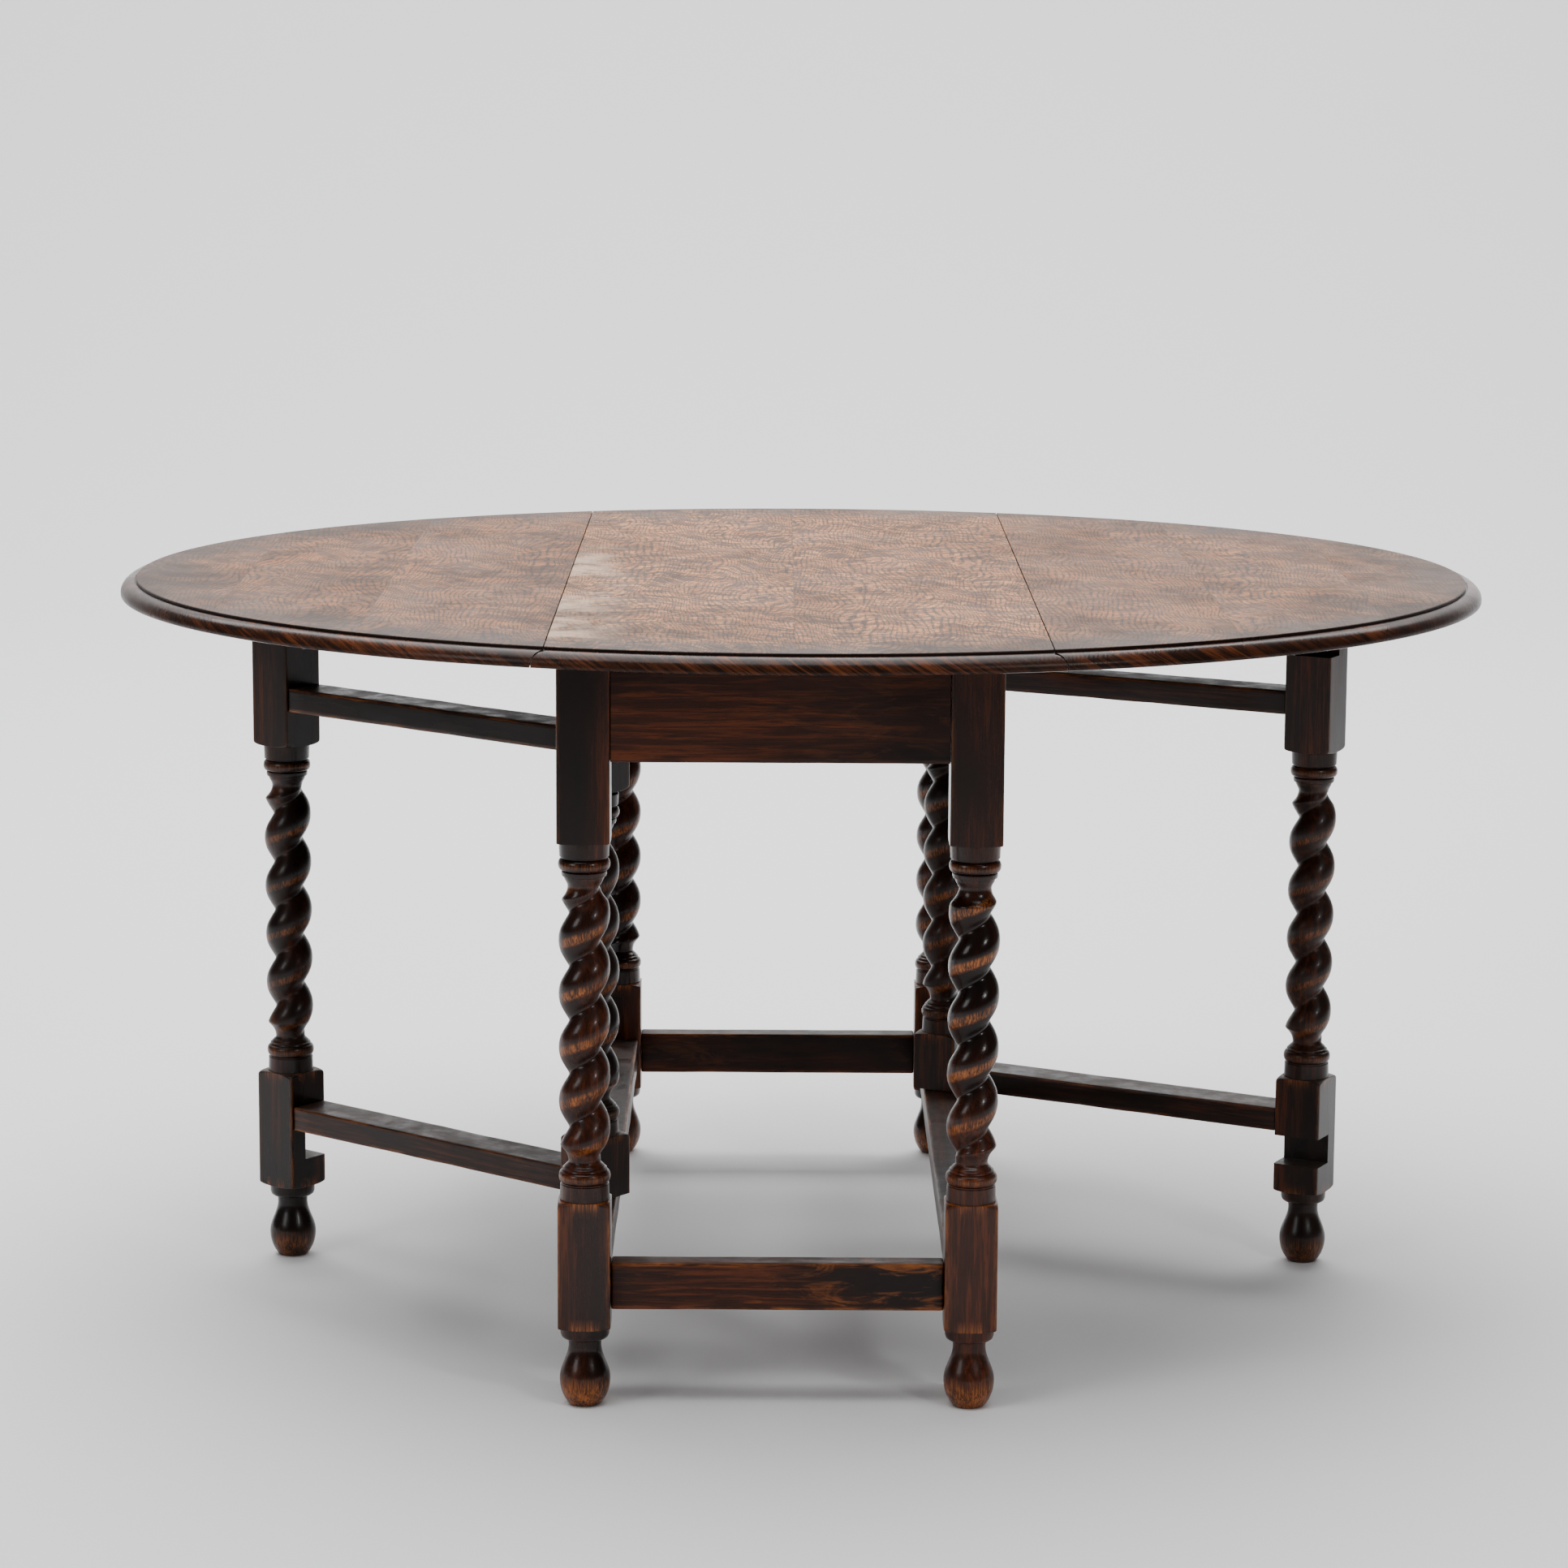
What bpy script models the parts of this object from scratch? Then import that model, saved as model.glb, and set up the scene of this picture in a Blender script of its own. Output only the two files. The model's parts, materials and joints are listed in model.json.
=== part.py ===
# Gateleg table with an oval top in three parts, shown open.
# Metres, +Z up. The origin is on the floor under the middle of the oval top.
# Run with: blender --background --python part.py

from math import acos, asin, ceil, cos, pi, radians, sin, tau

import bmesh
import bpy
from mathutils import Vector

# Clearances
GAP = 0.0003  # between faces that touch, such as a tenon in its mortise
SLIDE_GAP = 0.0015  # round the gate leg's notch and under the pivot posts
PIN_GAP = 0.0004  # round a turning pin

# Top
TOP_LENGTH = 1.402
TOP_DEPTH = 1.229
TABLE_HEIGHT = 0.740
TOP_THICKNESS = 0.0185
CENTRE_WIDTH = 0.467  # from rule joint to rule joint, at the upper face
PANEL_OFFSET = -0.0047  # middle of the centre panel, from the middle of the oval
EDGE_STEP = 0.003  # height of the small step above the rounded edge
EDGE_QUIRK = 0.0012
EDGE_ROUND = 0.0145  # how far the rounded edge stands out
EDGE_FILLET = 0.0035  # upright band below the rounded edge
OVAL_SIDES = 64

# Rule joints and their backflap hinges
RULE_FILLET = 0.004  # upright part of the joint, below the upper face
PIN_RISE = 0.0025  # hinge pin above the underside
RULE_GAP = 0.0011
RULE_SIDES = 5
HINGE_Y = 0.360
HINGE_WIDTH = 0.036
FIXED_REACH = 0.034  # hinge plate under the centre panel
LEAF_REACH = 0.044  # hinge plate under the leaf
PLATE = 0.002
KNUCKLE_RADIUS = 0.0035
KNUCKLE_BORE = 0.0016
LEAF_LIFT_ROOM = 0.0012

# Underframe
FRAME_OFFSET = (-0.0212, -0.0110)  # middle of the underframe, from the middle of the oval
LEG_SPAN_X = 0.367  # centre to centre
LEG_SPAN_Y = 0.970
LEG_SIZE = 0.050
LOWER_BLOCK = (0.081, 0.200)
UPPER_BLOCK = 0.1742  # length, from the top of the leg down
SHOULDER = 0.005  # turned corner at the end of a square block
TENON_SHOULDER = 0.006
TENON_LENGTH = 0.016

APRON_HEIGHT = 0.0957
APRON_THICKNESS = 0.022
APRON_SETBACK = 0.002
SIDE_APRON_HEIGHT = 0.0652
SIDE_APRON_THICKNESS = 0.030
SIDE_APRON_OUT = 0.0015  # its middle, outward from the leg centres
STRETCHER_Z = (0.096, 0.142)
STRETCHER_THICKNESS = 0.026
SIDE_STRETCHER_Z = (0.110, 0.138)
SIDE_STRETCHER_WIDTH = 0.045
SIDE_STRETCHER_OUT = 0.0005

# Turning
SIDES = 8  # round the legs, with a corner of each square block on every second one
TWIST_PITCH = 0.0515
TWIST_RADIUS = 0.0198  # of the round section
TWIST_THROW = 0.0044  # of its centre from the leg's axis
TWIST_ROWS = 5  # in each turn
TURNING = ((0.0, 0.0235), (0.002, 0.0222), (0.014, 0.0222), (0.020, 0.0238), (0.030, 0.0180))
TURNING_LENGTH = 0.038  # from a block's end to the twist
CORNER_CRESTS = {  # height at which each leg's ridge faces +X
    ("front", "left"): 0.378,
    ("front", "right"): 0.407,
    ("back", "left"): 0.401,
    ("back", "right"): 0.401,
}
GATE_LEG_CREST = 0.376
POST_CREST = 0.369
BALL_RADIUS = 0.0245
BALL_HEIGHT = 0.0275
BALL_HALF_HEIGHT = 0.0330
FOOT_FLAT_RADIUS = 0.014
FOOT_NECK = ((0.0545, 0.0155), (0.061, 0.0155), (0.064, 0.0205), (0.0755, 0.0205))

# Gates
PIVOT_Y = 0.235  # pivot post from the middle of the table
GATE_LENGTH = 0.430  # pivot post centre to gate leg centre
LEFT_OPEN = radians(51.0)  # from in line with the side of the underframe
RIGHT_OPEN = radians(61.5)
GATE_CLOSED = radians(2.65)  # the folded gate stands this far out of line
GATE_RAIL_WIDTH = 0.045
GATE_RAIL_HEIGHT = 0.025
GATE_UPPER_BLOCK = 0.1692
UPPER_RAIL_DROP = 0.1302  # the rail's lower face, below the top of the gate leg
LOWER_RAIL_BOTTOM = 0.143
PIVOT_PIN_RADIUS = 0.009
PIVOT_PIN_LENGTH = 0.018
STOP_LENGTH = 0.070
STOP_WIDTH = 0.022
STOP_HEIGHT = 0.018

# Blocks and screws that hold the centre panel
BLOCK_X = 0.085
BLOCK_SIZE = (0.060, 0.026, 0.030)
SCREW_HEAD_RADIUS = 0.0042
SCREW_RADIUS = 0.0022
SCREW_HEAD = 0.003
SCREW_BITE = 0.012  # how far the screw goes into the panel

UNDERSIDE = TABLE_HEIGHT - TOP_THICKNESS
UNDER_TOP = UNDERSIDE - GAP
JOINT_X = CENTRE_WIDTH / 2
PIN_Z = UNDERSIDE + PIN_RISE
RULE_RADIUS = TOP_THICKNESS - RULE_FILLET - PIN_RISE
LEG_X = LEG_SPAN_X / 2
LEG_Y = LEG_SPAN_Y / 2
HALF_LEG = LEG_SIZE / 2
APRON_BOTTOM = UNDER_TOP - APRON_HEIGHT
SIDE_APRON_BOTTOM = UNDER_TOP - SIDE_APRON_HEIGHT
UPPER_BLOCK_BOTTOM = UNDER_TOP - UPPER_BLOCK
GATE_UPPER_BLOCK_BOTTOM = UNDER_TOP - GATE_UPPER_BLOCK
UPPER_RAIL_BOTTOM = UNDER_TOP - UPPER_RAIL_DROP
SOCKET_PAST = 0.001  # a cutter runs this far out of the face that it cuts

COLOURS = {
    "top_oak": ((0.105, 0.050, 0.026), 0.32),
    "leg_oak": ((0.040, 0.021, 0.013), 0.40),
    "rail_oak": ((0.058, 0.030, 0.018), 0.45),
    "gate_oak": ((0.070, 0.043, 0.028), 0.50),
    "bare_oak": ((0.200, 0.125, 0.070), 0.70),
    "old_iron": ((0.060, 0.055, 0.050), 0.45),
}


def clear_scene():
    for old in list(bpy.data.objects):
        bpy.data.objects.remove(old, do_unlink=True)


def material(name):
    found = bpy.data.materials.get(name)
    if found:
        return found
    colour, roughness = COLOURS[name]
    made = bpy.data.materials.new(name)
    made.use_nodes = True
    shader = made.node_tree.nodes["Principled BSDF"]
    shader.inputs["Base Color"].default_value = (*colour, 1.0)
    shader.inputs["Roughness"].default_value = roughness
    shader.inputs["Metallic"].default_value = 0.9 if name == "old_iron" else 0.0
    return made


def empty(name, location, turn=0.0):
    """An axis or a sub-assembly that pieces are placed on."""
    holder = bpy.data.objects.new(name, None)
    holder.location = location
    holder.rotation_euler.z = turn
    bpy.context.scene.collection.objects.link(holder)
    return holder


def add_object(name, bm, finish, parent=None, location=(0, 0, 0), turn=0.0):
    mesh = bpy.data.meshes.new(name)
    bm.to_mesh(mesh)
    bm.free()
    piece = bpy.data.objects.new(name, mesh)
    piece.parent = parent
    piece.location = location
    piece.rotation_euler.z = turn
    bpy.context.scene.collection.objects.link(piece)
    if finish:
        mesh.materials.append(material(finish))
    return piece


def as_cutter(piece):
    piece.hide_render = True
    piece.display_type = "WIRE"
    return piece


def boolean(piece, cutter, operation="DIFFERENCE"):
    change = piece.modifiers.new(cutter.name, "BOOLEAN")
    change.operation = operation
    change.object = cutter
    change.solver = "EXACT"


def box_mesh(low, high):
    bm = bmesh.new()
    bmesh.ops.create_cube(bm, size=1.0)
    low, high = Vector(low), Vector(high)
    bmesh.ops.scale(bm, vec=high - low, verts=bm.verts)
    bmesh.ops.translate(bm, vec=(low + high) / 2, verts=bm.verts)
    return bm


def box(name, low, high, finish, parent=None, location=(0, 0, 0), turn=0.0):
    return add_object(name, box_mesh(low, high), finish, parent, location, turn)


def cut_box(piece, name, low, high, parent=None, location=(0, 0, 0), turn=0.0):
    boolean(piece, as_cutter(box(name, low, high, None, parent, location, turn)))


def loft_mesh(rings):
    """A closed solid through rings of points, each one anticlockwise seen from the last ring's end."""
    bm = bmesh.new()
    rows = [[bm.verts.new(point) for point in ring] for ring in rings]
    count = len(rows[0])
    for below, above in zip(rows, rows[1:]):
        for i in range(count):
            j = (i + 1) % count
            bm.faces.new((below[i], below[j], above[j], above[i]))
    bm.faces.new(reversed(rows[0]))
    bm.faces.new(rows[-1])
    bmesh.ops.triangulate(bm, faces=bm.faces)
    return bm


def prism_mesh(outline, low_y, high_y):
    """A solid with this outline of (x, z) points, from low_y to high_y."""
    bm = bmesh.new()
    face = bm.faces.new([bm.verts.new((x, low_y, z)) for x, z in outline])
    bmesh.ops.triangulate(bm, faces=[face])
    pushed = bmesh.ops.extrude_face_region(bm, geom=bm.faces[:])
    moved = [item for item in pushed["geom"] if isinstance(item, bmesh.types.BMVert)]
    bmesh.ops.translate(bm, vec=(0, high_y - low_y, 0), verts=moved)
    bmesh.ops.recalc_face_normals(bm, faces=bm.faces)
    return bm


def arc(centre, radii, start, end, steps):
    """Points on an upright arc or quarter oval, both ends included."""
    angles = [start + (end - start) * i / steps for i in range(steps + 1)]
    return [(centre[0] + radii[0] * cos(a), centre[1] + radii[1] * sin(a)) for a in angles]


def round_ring(z, radius, sides=SIDES, offset=(0.0, 0.0)):
    angles = [tau * i / sides for i in range(sides)]
    return [(offset[0] + radius * cos(a), offset[1] + radius * sin(a), z) for a in angles]


def square_ring(z, half):
    points = round_ring(z, half)
    return [(x * half / max(abs(x), abs(y)), y * half / max(abs(x), abs(y)), z) for x, y, z in points]


# ---- Top ----


def oval_ring(z, inset):
    a, b = TOP_LENGTH / 2 - inset, TOP_DEPTH / 2 - inset
    angles = [tau * i / OVAL_SIDES for i in range(OVAL_SIDES)]
    return [(a * cos(t), b * sin(t), z) for t in angles]


def oval_slab():
    """The whole top, with its moulded edge."""
    low, high = UNDERSIDE + EDGE_FILLET, TABLE_HEIGHT - EDGE_STEP
    edge = [(0.0, UNDERSIDE)]
    edge += [(EDGE_ROUND - x, z) for x, z in arc((0.0, low), (EDGE_ROUND, high - low), 0.0, pi / 2, 4)]
    edge += [(EDGE_ROUND + EDGE_QUIRK, high), (EDGE_ROUND + EDGE_QUIRK, TABLE_HEIGHT)]
    return loft_mesh([oval_ring(z, inset) for inset, z in edge])


def rule_edge(side, gap):
    """The rule joint's outline from the underside up: the panel's with no gap, the leaf's with one."""
    radius = RULE_RADIUS + gap
    top = acos(gap / radius)
    curve = arc((JOINT_X, PIN_Z), (radius, radius), 0.0, top, RULE_SIDES)
    points = [(JOINT_X + radius, UNDERSIDE - TOP_THICKNESS)] + curve
    points += [(JOINT_X + gap, TABLE_HEIGHT + TOP_THICKNESS)]
    return [(PANEL_OFFSET + side * x, z) for x, z in points]


def build_top():
    reach = TOP_DEPTH
    centre = add_object("top_centre", oval_slab(), "top_oak")
    outline = rule_edge(1, 0.0) + rule_edge(-1, 0.0)[::-1]
    shape = add_object("centre_shape", prism_mesh(outline, -reach, reach), None)
    boolean(centre, as_cutter(shape), "INTERSECT")
    leaves = {}
    for side, word in ((-1, "left"), (1, "right")):
        joint_x = PANEL_OFFSET + side * JOINT_X
        axis = empty(f"leaf_axis_{word}", (joint_x, 0, PIN_Z))
        leaf = add_object(f"leaf_{word}", oval_slab(), "top_oak", axis, (-joint_x, 0, -PIN_Z))
        far = side * TOP_LENGTH
        outline = rule_edge(side, RULE_GAP)
        outline += [(far, outline[-1][1]), (far, outline[0][1])]
        shape = add_object(f"leaf_shape_{word}", prism_mesh(outline, -reach, reach), None)
        boolean(leaf, as_cutter(shape), "INTERSECT")
        leaves[word] = leaf
    return centre, leaves


# ---- Backflap hinges. Each is made with its pin along Y at its own origin and its leaf plate towards +X ----


def hinge_plate_mesh(reach):
    """A plate rolled round the pin, with the slit that rolling leaves."""
    low, high = -PIN_RISE, -PIN_RISE + PLATE
    outer_start = pi + asin(-low / KNUCKLE_RADIUS)
    inner_end = pi + asin(-high / KNUCKLE_BORE)
    roll_end = tau + radians(168)
    outer = arc((0, 0), (KNUCKLE_RADIUS, KNUCKLE_RADIUS), outer_start, roll_end, 9)
    inner = arc((0, 0), (KNUCKLE_BORE, KNUCKLE_BORE), roll_end, inner_end, 7)
    outline = [(-reach, low)] + outer + inner + [(-reach, high)]
    return prism_mesh(outline, -HINGE_WIDTH / 2, HINGE_WIDTH / 2)


def build_hinges(centre, leaves):
    half = HINGE_WIDTH / 2
    third = HINGE_WIDTH / 6
    room = KNUCKLE_RADIUS + SLIDE_GAP / 2
    low = -PIN_RISE - SOCKET_PAST
    plate_top = -PIN_RISE + PLATE + GAP
    for word, side_turn, side in (("left", pi, -1), ("right", 0.0, 1)):
        for end, y in (("front", -HINGE_Y), ("back", HINGE_Y)):
            name = f"hinge_{word}_{end}"
            place = {"location": (PANEL_OFFSET + side * JOINT_X, y, PIN_Z), "turn": side_turn}
            fixed = add_object(f"{name}_fixed_plate", hinge_plate_mesh(FIXED_REACH), "old_iron", **place)
            cut_box(fixed, f"{name}_middle", (-room, -third - GAP, -room), (room, third + GAP, room), **place)
            turned = {"location": place["location"], "turn": side_turn + pi}
            moving = add_object(f"{name}_leaf_plate", hinge_plate_mesh(LEAF_REACH), "old_iron", **turned)
            for sign, part in ((-1, "a"), (1, "b")):
                near, far = sorted((sign * (third - GAP), sign * (half + SOCKET_PAST)))
                cut_box(moving, f"{name}_end_{part}", (-room, near, -room), (room, far, room), **place)
            pin_rings = [round_ring(z, KNUCKLE_BORE - GAP) for z in (-half, half)]
            pin = add_object(f"{name}_pin", loft_mesh(pin_rings), "old_iron", location=place["location"])
            pin.rotation_euler.x = pi / 2

            wide = half + GAP
            pockets = (
                ("plate", -FIXED_REACH - GAP, -KNUCKLE_BORE, plate_top),
                ("knuckle", -room, room, room),
                ("throat", KNUCKLE_BORE, RULE_RADIUS + SOCKET_PAST, plate_top + LEAF_LIFT_ROOM),
            )
            for part, near, far, top in pockets:
                cut_box(centre, f"{name}_{part}_pocket", (near, -wide, low), (far, wide, top), **place)
            leaf_low = (RULE_RADIUS - SOCKET_PAST, -wide, low)
            cut_box(leaves[word], f"{name}_leaf_pocket", leaf_low, (LEAF_REACH + GAP, wide, plate_top), **place)


# ---- Turned legs and posts ----


def foot_rings():
    start = -asin(BALL_HEIGHT / BALL_HALF_HEIGHT)
    end = asin((FOOT_NECK[0][0] - BALL_HEIGHT) / BALL_HALF_HEIGHT)
    rings = [round_ring(0.0, FOOT_FLAT_RADIUS)]
    for radius, z in arc((0.0, BALL_HEIGHT), (BALL_RADIUS, BALL_HALF_HEIGHT), start, end, 6)[1:-1]:
        rings.append(round_ring(z, radius))
    return rings + [round_ring(z, radius) for z, radius in FOOT_NECK]


def block_rings(low, high, turned_low=True, turned_high=True):
    """A square block, with turned shoulders at the ends that meet round work."""
    rings = []
    if turned_low:
        rings.append(round_ring(low, TURNING[0][1]))
    rings.append(square_ring(low + (SHOULDER if turned_low else 0.0), HALF_LEG))
    rings.append(square_ring(high - (SHOULDER if turned_high else 0.0), HALF_LEG))
    if turned_high:
        rings.append(round_ring(high, TURNING[0][1]))
    return rings


def twist_rings(low, high, phase):
    """A round section whose centre winds round the axis, rising to the right at the near side."""
    rows = ceil((high - low) / TWIST_PITCH * TWIST_ROWS)
    rings = []
    for i in range(rows + 1):
        z = low + (high - low) * i / rows
        angle = phase + tau * (z - low) / TWIST_PITCH
        ease = min(1.0, 2.5 * sin(pi * i / rows))
        offset = (TWIST_THROW * ease * cos(angle), TWIST_THROW * ease * sin(angle))
        rings.append(round_ring(z, TWIST_RADIUS, offset=offset))
    return rings


def shaft_rings(low, high, phase):
    """Everything between two square blocks: turning, twist, turning."""
    up = [round_ring(low + rise, radius) for rise, radius in TURNING[1:]]
    down = [round_ring(high - rise, radius) for rise, radius in reversed(TURNING[1:])]
    return up + twist_rings(low + TURNING_LENGTH, high - TURNING_LENGTH, phase) + down


def crest_phase(crest, turn=0.0):
    """Where the ridge starts, on a piece turned by this much, for it to face +X at this height."""
    start = LOWER_BLOCK[1] + TURNING_LENGTH
    return tau * (start - crest) / TWIST_PITCH - turn


def leg_mesh(phase, upper_block=UPPER_BLOCK_BOTTOM):
    rings = foot_rings() + block_rings(*LOWER_BLOCK)
    rings += shaft_rings(LOWER_BLOCK[1], upper_block, phase)
    rings += block_rings(upper_block, UNDER_TOP, turned_high=False)
    return loft_mesh(rings)


def post_mesh(phase):
    low = SIDE_STRETCHER_Z[1] + SLIDE_GAP
    high = SIDE_APRON_BOTTOM - SLIDE_GAP
    rings = [round_ring(low - PIVOT_PIN_LENGTH, PIVOT_PIN_RADIUS), round_ring(low, PIVOT_PIN_RADIUS)]
    rings += block_rings(low, LOWER_BLOCK[1], turned_low=False)
    rings += shaft_rings(LOWER_BLOCK[1], GATE_UPPER_BLOCK_BOTTOM, phase)
    rings += block_rings(GATE_UPPER_BLOCK_BOTTOM, high, turned_high=False)
    rings += [round_ring(high, PIVOT_PIN_RADIUS), round_ring(high + PIVOT_PIN_LENGTH, PIVOT_PIN_RADIUS)]
    return loft_mesh(rings)


def build_legs(frame):
    legs = {}
    for (end, side), crest in CORNER_CRESTS.items():
        x = LEG_X if side == "right" else -LEG_X
        y = LEG_Y if end == "back" else -LEG_Y
        name = f"leg_{end}_{side}"
        legs[end, side] = add_object(name, leg_mesh(crest_phase(crest)), "leg_oak", frame, (x, y, 0))
    return legs


# ---- Rails: every one has a tenon at each end, and cuts its own mortises ----


def rail(name, shoulders, width, height, finish, hosts, parent, location, turn=0.0):
    """A rail along its own X, with this length between its shoulders, tenoned into its two hosts."""
    half = shoulders / 2 - GAP
    rings = []
    for sign in (-1, 1):
        thin = (width / 2 - TENON_SHOULDER, height / 2 - TENON_SHOULDER)
        full = (width / 2, height / 2)
        stations = [(half + TENON_LENGTH, thin), (half, thin), (half, full)]
        for x, (y, z) in stations if sign < 0 else stations[::-1]:
            rings.append([(sign * x, -y, -z), (sign * x, y, -z), (sign * x, y, z), (sign * x, -y, z)])
    piece = add_object(name, loft_mesh(rings), finish, parent, location, turn)
    for sign, host in zip((-1, 1), hosts):
        y, z = width / 2 - TENON_SHOULDER + GAP, height / 2 - TENON_SHOULDER + GAP
        near = sign * (half - SOCKET_PAST)
        far = sign * (half + TENON_LENGTH + GAP)
        low, high = (min(near, far), -y, -z), (max(near, far), y, z)
        cut_box(host, f"{name}_mortise_{'low' if sign < 0 else 'high'}", low, high, parent, location, turn)
    return piece


def build_rails(frame, legs):
    across = LEG_SPAN_X - LEG_SIZE
    along = LEG_SPAN_Y - LEG_SIZE
    made = {}
    for end, sign in (("front", -1), ("back", 1)):
        hosts = (legs[end, "left"], legs[end, "right"])
        y = sign * (LEG_Y + HALF_LEG - APRON_SETBACK - APRON_THICKNESS / 2)
        place = (0, y, APRON_BOTTOM + APRON_HEIGHT / 2)
        rail(f"apron_{end}", across, APRON_THICKNESS, APRON_HEIGHT, "rail_oak", hosts, frame, place)
        place = (0, sign * LEG_Y, sum(STRETCHER_Z) / 2)
        height = STRETCHER_Z[1] - STRETCHER_Z[0]
        rail(f"stretcher_{end}", across, STRETCHER_THICKNESS, height, "rail_oak", hosts, frame, place)
    for side, sign in (("left", -1), ("right", 1)):
        hosts = (legs["front", side], legs["back", side])
        place = (sign * (LEG_X + SIDE_APRON_OUT), 0, SIDE_APRON_BOTTOM + SIDE_APRON_HEIGHT / 2)
        width, height = SIDE_APRON_THICKNESS, SIDE_APRON_HEIGHT
        apron = rail(f"apron_{side}", along, width, height, "rail_oak", hosts, frame, place, pi / 2)
        place = (sign * (LEG_X + SIDE_STRETCHER_OUT), 0, sum(SIDE_STRETCHER_Z) / 2)
        height = SIDE_STRETCHER_Z[1] - SIDE_STRETCHER_Z[0]
        width = SIDE_STRETCHER_WIDTH
        stretcher = rail(f"stretcher_{side}", along, width, height, "rail_oak", hosts, frame, place, pi / 2)
        made[side] = (apron, stretcher)
    return made


# ---- Gates. Each is made with its pivot at its own origin and its leg towards +X ----


def pin_hole(piece, name, parent, location, low, high):
    radius = (PIVOT_PIN_RADIUS + PIN_GAP) / cos(pi / (3 * SIDES))
    rings = [round_ring(z, radius, 3 * SIDES) for z in (low, high)]
    hole = add_object(name, loft_mesh(rings), None, parent, location)
    boolean(piece, as_cutter(hole))


def lap_depth(outer_face):
    """Local Y of a lap's floor that just clears this face, from the pivot line, when the gate is folded."""
    inner_end = GATE_LENGTH - HALF_LEG
    return (outer_face + GAP - inner_end * sin(GATE_CLOSED)) / cos(GATE_CLOSED)


def cut_laps(gate_leg, word, gate):
    """The notch that laps over the side stretcher and the rebate that laps over the side apron."""
    past = HALF_LEG + SOCKET_PAST
    near, far = GATE_LENGTH - past, GATE_LENGTH + past
    floor = lap_depth(SIDE_STRETCHER_OUT + SIDE_STRETCHER_WIDTH / 2)
    low, high = SIDE_STRETCHER_Z[0] - SLIDE_GAP, SIDE_STRETCHER_Z[1] + SLIDE_GAP
    cut_box(gate_leg, f"notch_{word}", (near, -past, low), (far, floor, high), gate)
    floor = lap_depth(SIDE_APRON_OUT + SIDE_APRON_THICKNESS / 2)
    low, high = SIDE_APRON_BOTTOM - SLIDE_GAP, UNDERSIDE + SOCKET_PAST
    cut_box(gate_leg, f"rebate_{word}", (near, -past, low), (far, floor, high), gate)


def build_gates(frame, side_rails):
    for word, sign, opened in (("left", -1, LEFT_OPEN), ("right", 1, RIGHT_OPEN)):
        pivot = (sign * LEG_X, sign * PIVOT_Y, 0)
        turn = opened - sign * pi / 2
        gate = empty(f"gate_axis_{word}", pivot, turn)
        gate.parent = frame
        post = add_object(f"gate_post_{word}", post_mesh(crest_phase(POST_CREST, turn)), "gate_oak", gate)
        shape = leg_mesh(crest_phase(GATE_LEG_CREST, turn), GATE_UPPER_BLOCK_BOTTOM)
        gate_leg = add_object(f"gate_leg_{word}", shape, "gate_oak", gate, (GATE_LENGTH, 0, 0))
        shoulders = GATE_LENGTH - LEG_SIZE
        for part, bottom in (("upper", UPPER_RAIL_BOTTOM), ("lower", LOWER_RAIL_BOTTOM)):
            place = (GATE_LENGTH / 2, 0, bottom + GATE_RAIL_HEIGHT / 2)
            size = (shoulders, GATE_RAIL_WIDTH, GATE_RAIL_HEIGHT)
            rail(f"gate_{part}_rail_{word}", *size, "gate_oak", (post, gate_leg), gate, place)
        cut_laps(gate_leg, word, gate)

        apron, stretcher = side_rails[word]
        top = SIDE_STRETCHER_Z[1]
        deep = top + SLIDE_GAP - PIVOT_PIN_LENGTH - PIN_GAP
        pin_hole(stretcher, f"lower_pin_hole_{word}", frame, pivot, deep, top + SOCKET_PAST)
        bottom = SIDE_APRON_BOTTOM
        deep = bottom - SLIDE_GAP + PIVOT_PIN_LENGTH + PIN_GAP
        pin_hole(apron, f"upper_pin_hole_{word}", frame, pivot, bottom - SOCKET_PAST, deep)

        # The stop under the leaf that the open gate comes up against
        near = HALF_LEG + GAP
        low = (GATE_LENGTH - STOP_LENGTH / 2, near, UNDER_TOP - STOP_HEIGHT)
        high = (GATE_LENGTH + STOP_LENGTH / 2, near + STOP_WIDTH, UNDER_TOP)
        box(f"leaf_stop_{word}", low, high, "bare_oak", gate)


# ---- Blocks and screws that hold the centre panel down ----


def screw_mesh(grow):
    bottom = UNDER_TOP - BLOCK_SIZE[2]
    head = SCREW_HEAD_RADIUS + grow
    shank = SCREW_RADIUS + grow
    stations = (
        (bottom - (SOCKET_PAST if grow else 0.0), head),
        (bottom + SCREW_HEAD * 0.2, head),
        (bottom + SCREW_HEAD, shank),
        (UNDERSIDE + SCREW_BITE + grow, shank),
    )
    return loft_mesh([round_ring(z, radius) for z, radius in stations])


def build_blocks(frame, centre):
    inner = LEG_Y + HALF_LEG - APRON_SETBACK - APRON_THICKNESS - GAP
    length, width, height = BLOCK_SIZE
    for end, y_sign in (("front", -1), ("back", 1)):
        for side, x_sign in (("left", -1), ("right", 1)):
            name = f"{end}_{side}"
            place = (x_sign * BLOCK_X, y_sign * (inner - width / 2), 0)
            low = (-length / 2, -width / 2, UNDER_TOP - height)
            high = (length / 2, width / 2, UNDER_TOP)
            block = box(f"top_block_{name}", low, high, "bare_oak", frame, place)
            add_object(f"top_screw_{name}", screw_mesh(0.0), "old_iron", frame, place)
            hole = as_cutter(add_object(f"screw_hole_{name}", screw_mesh(GAP), None, frame, place))
            boolean(block, hole)
            boolean(centre, hole)


def main():
    clear_scene()
    centre, leaves = build_top()
    build_hinges(centre, leaves)
    frame = empty("underframe", (*FRAME_OFFSET, 0))
    legs = build_legs(frame)
    side_rails = build_rails(frame, legs)
    build_gates(frame, side_rails)
    build_blocks(frame, centre)


main()
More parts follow.
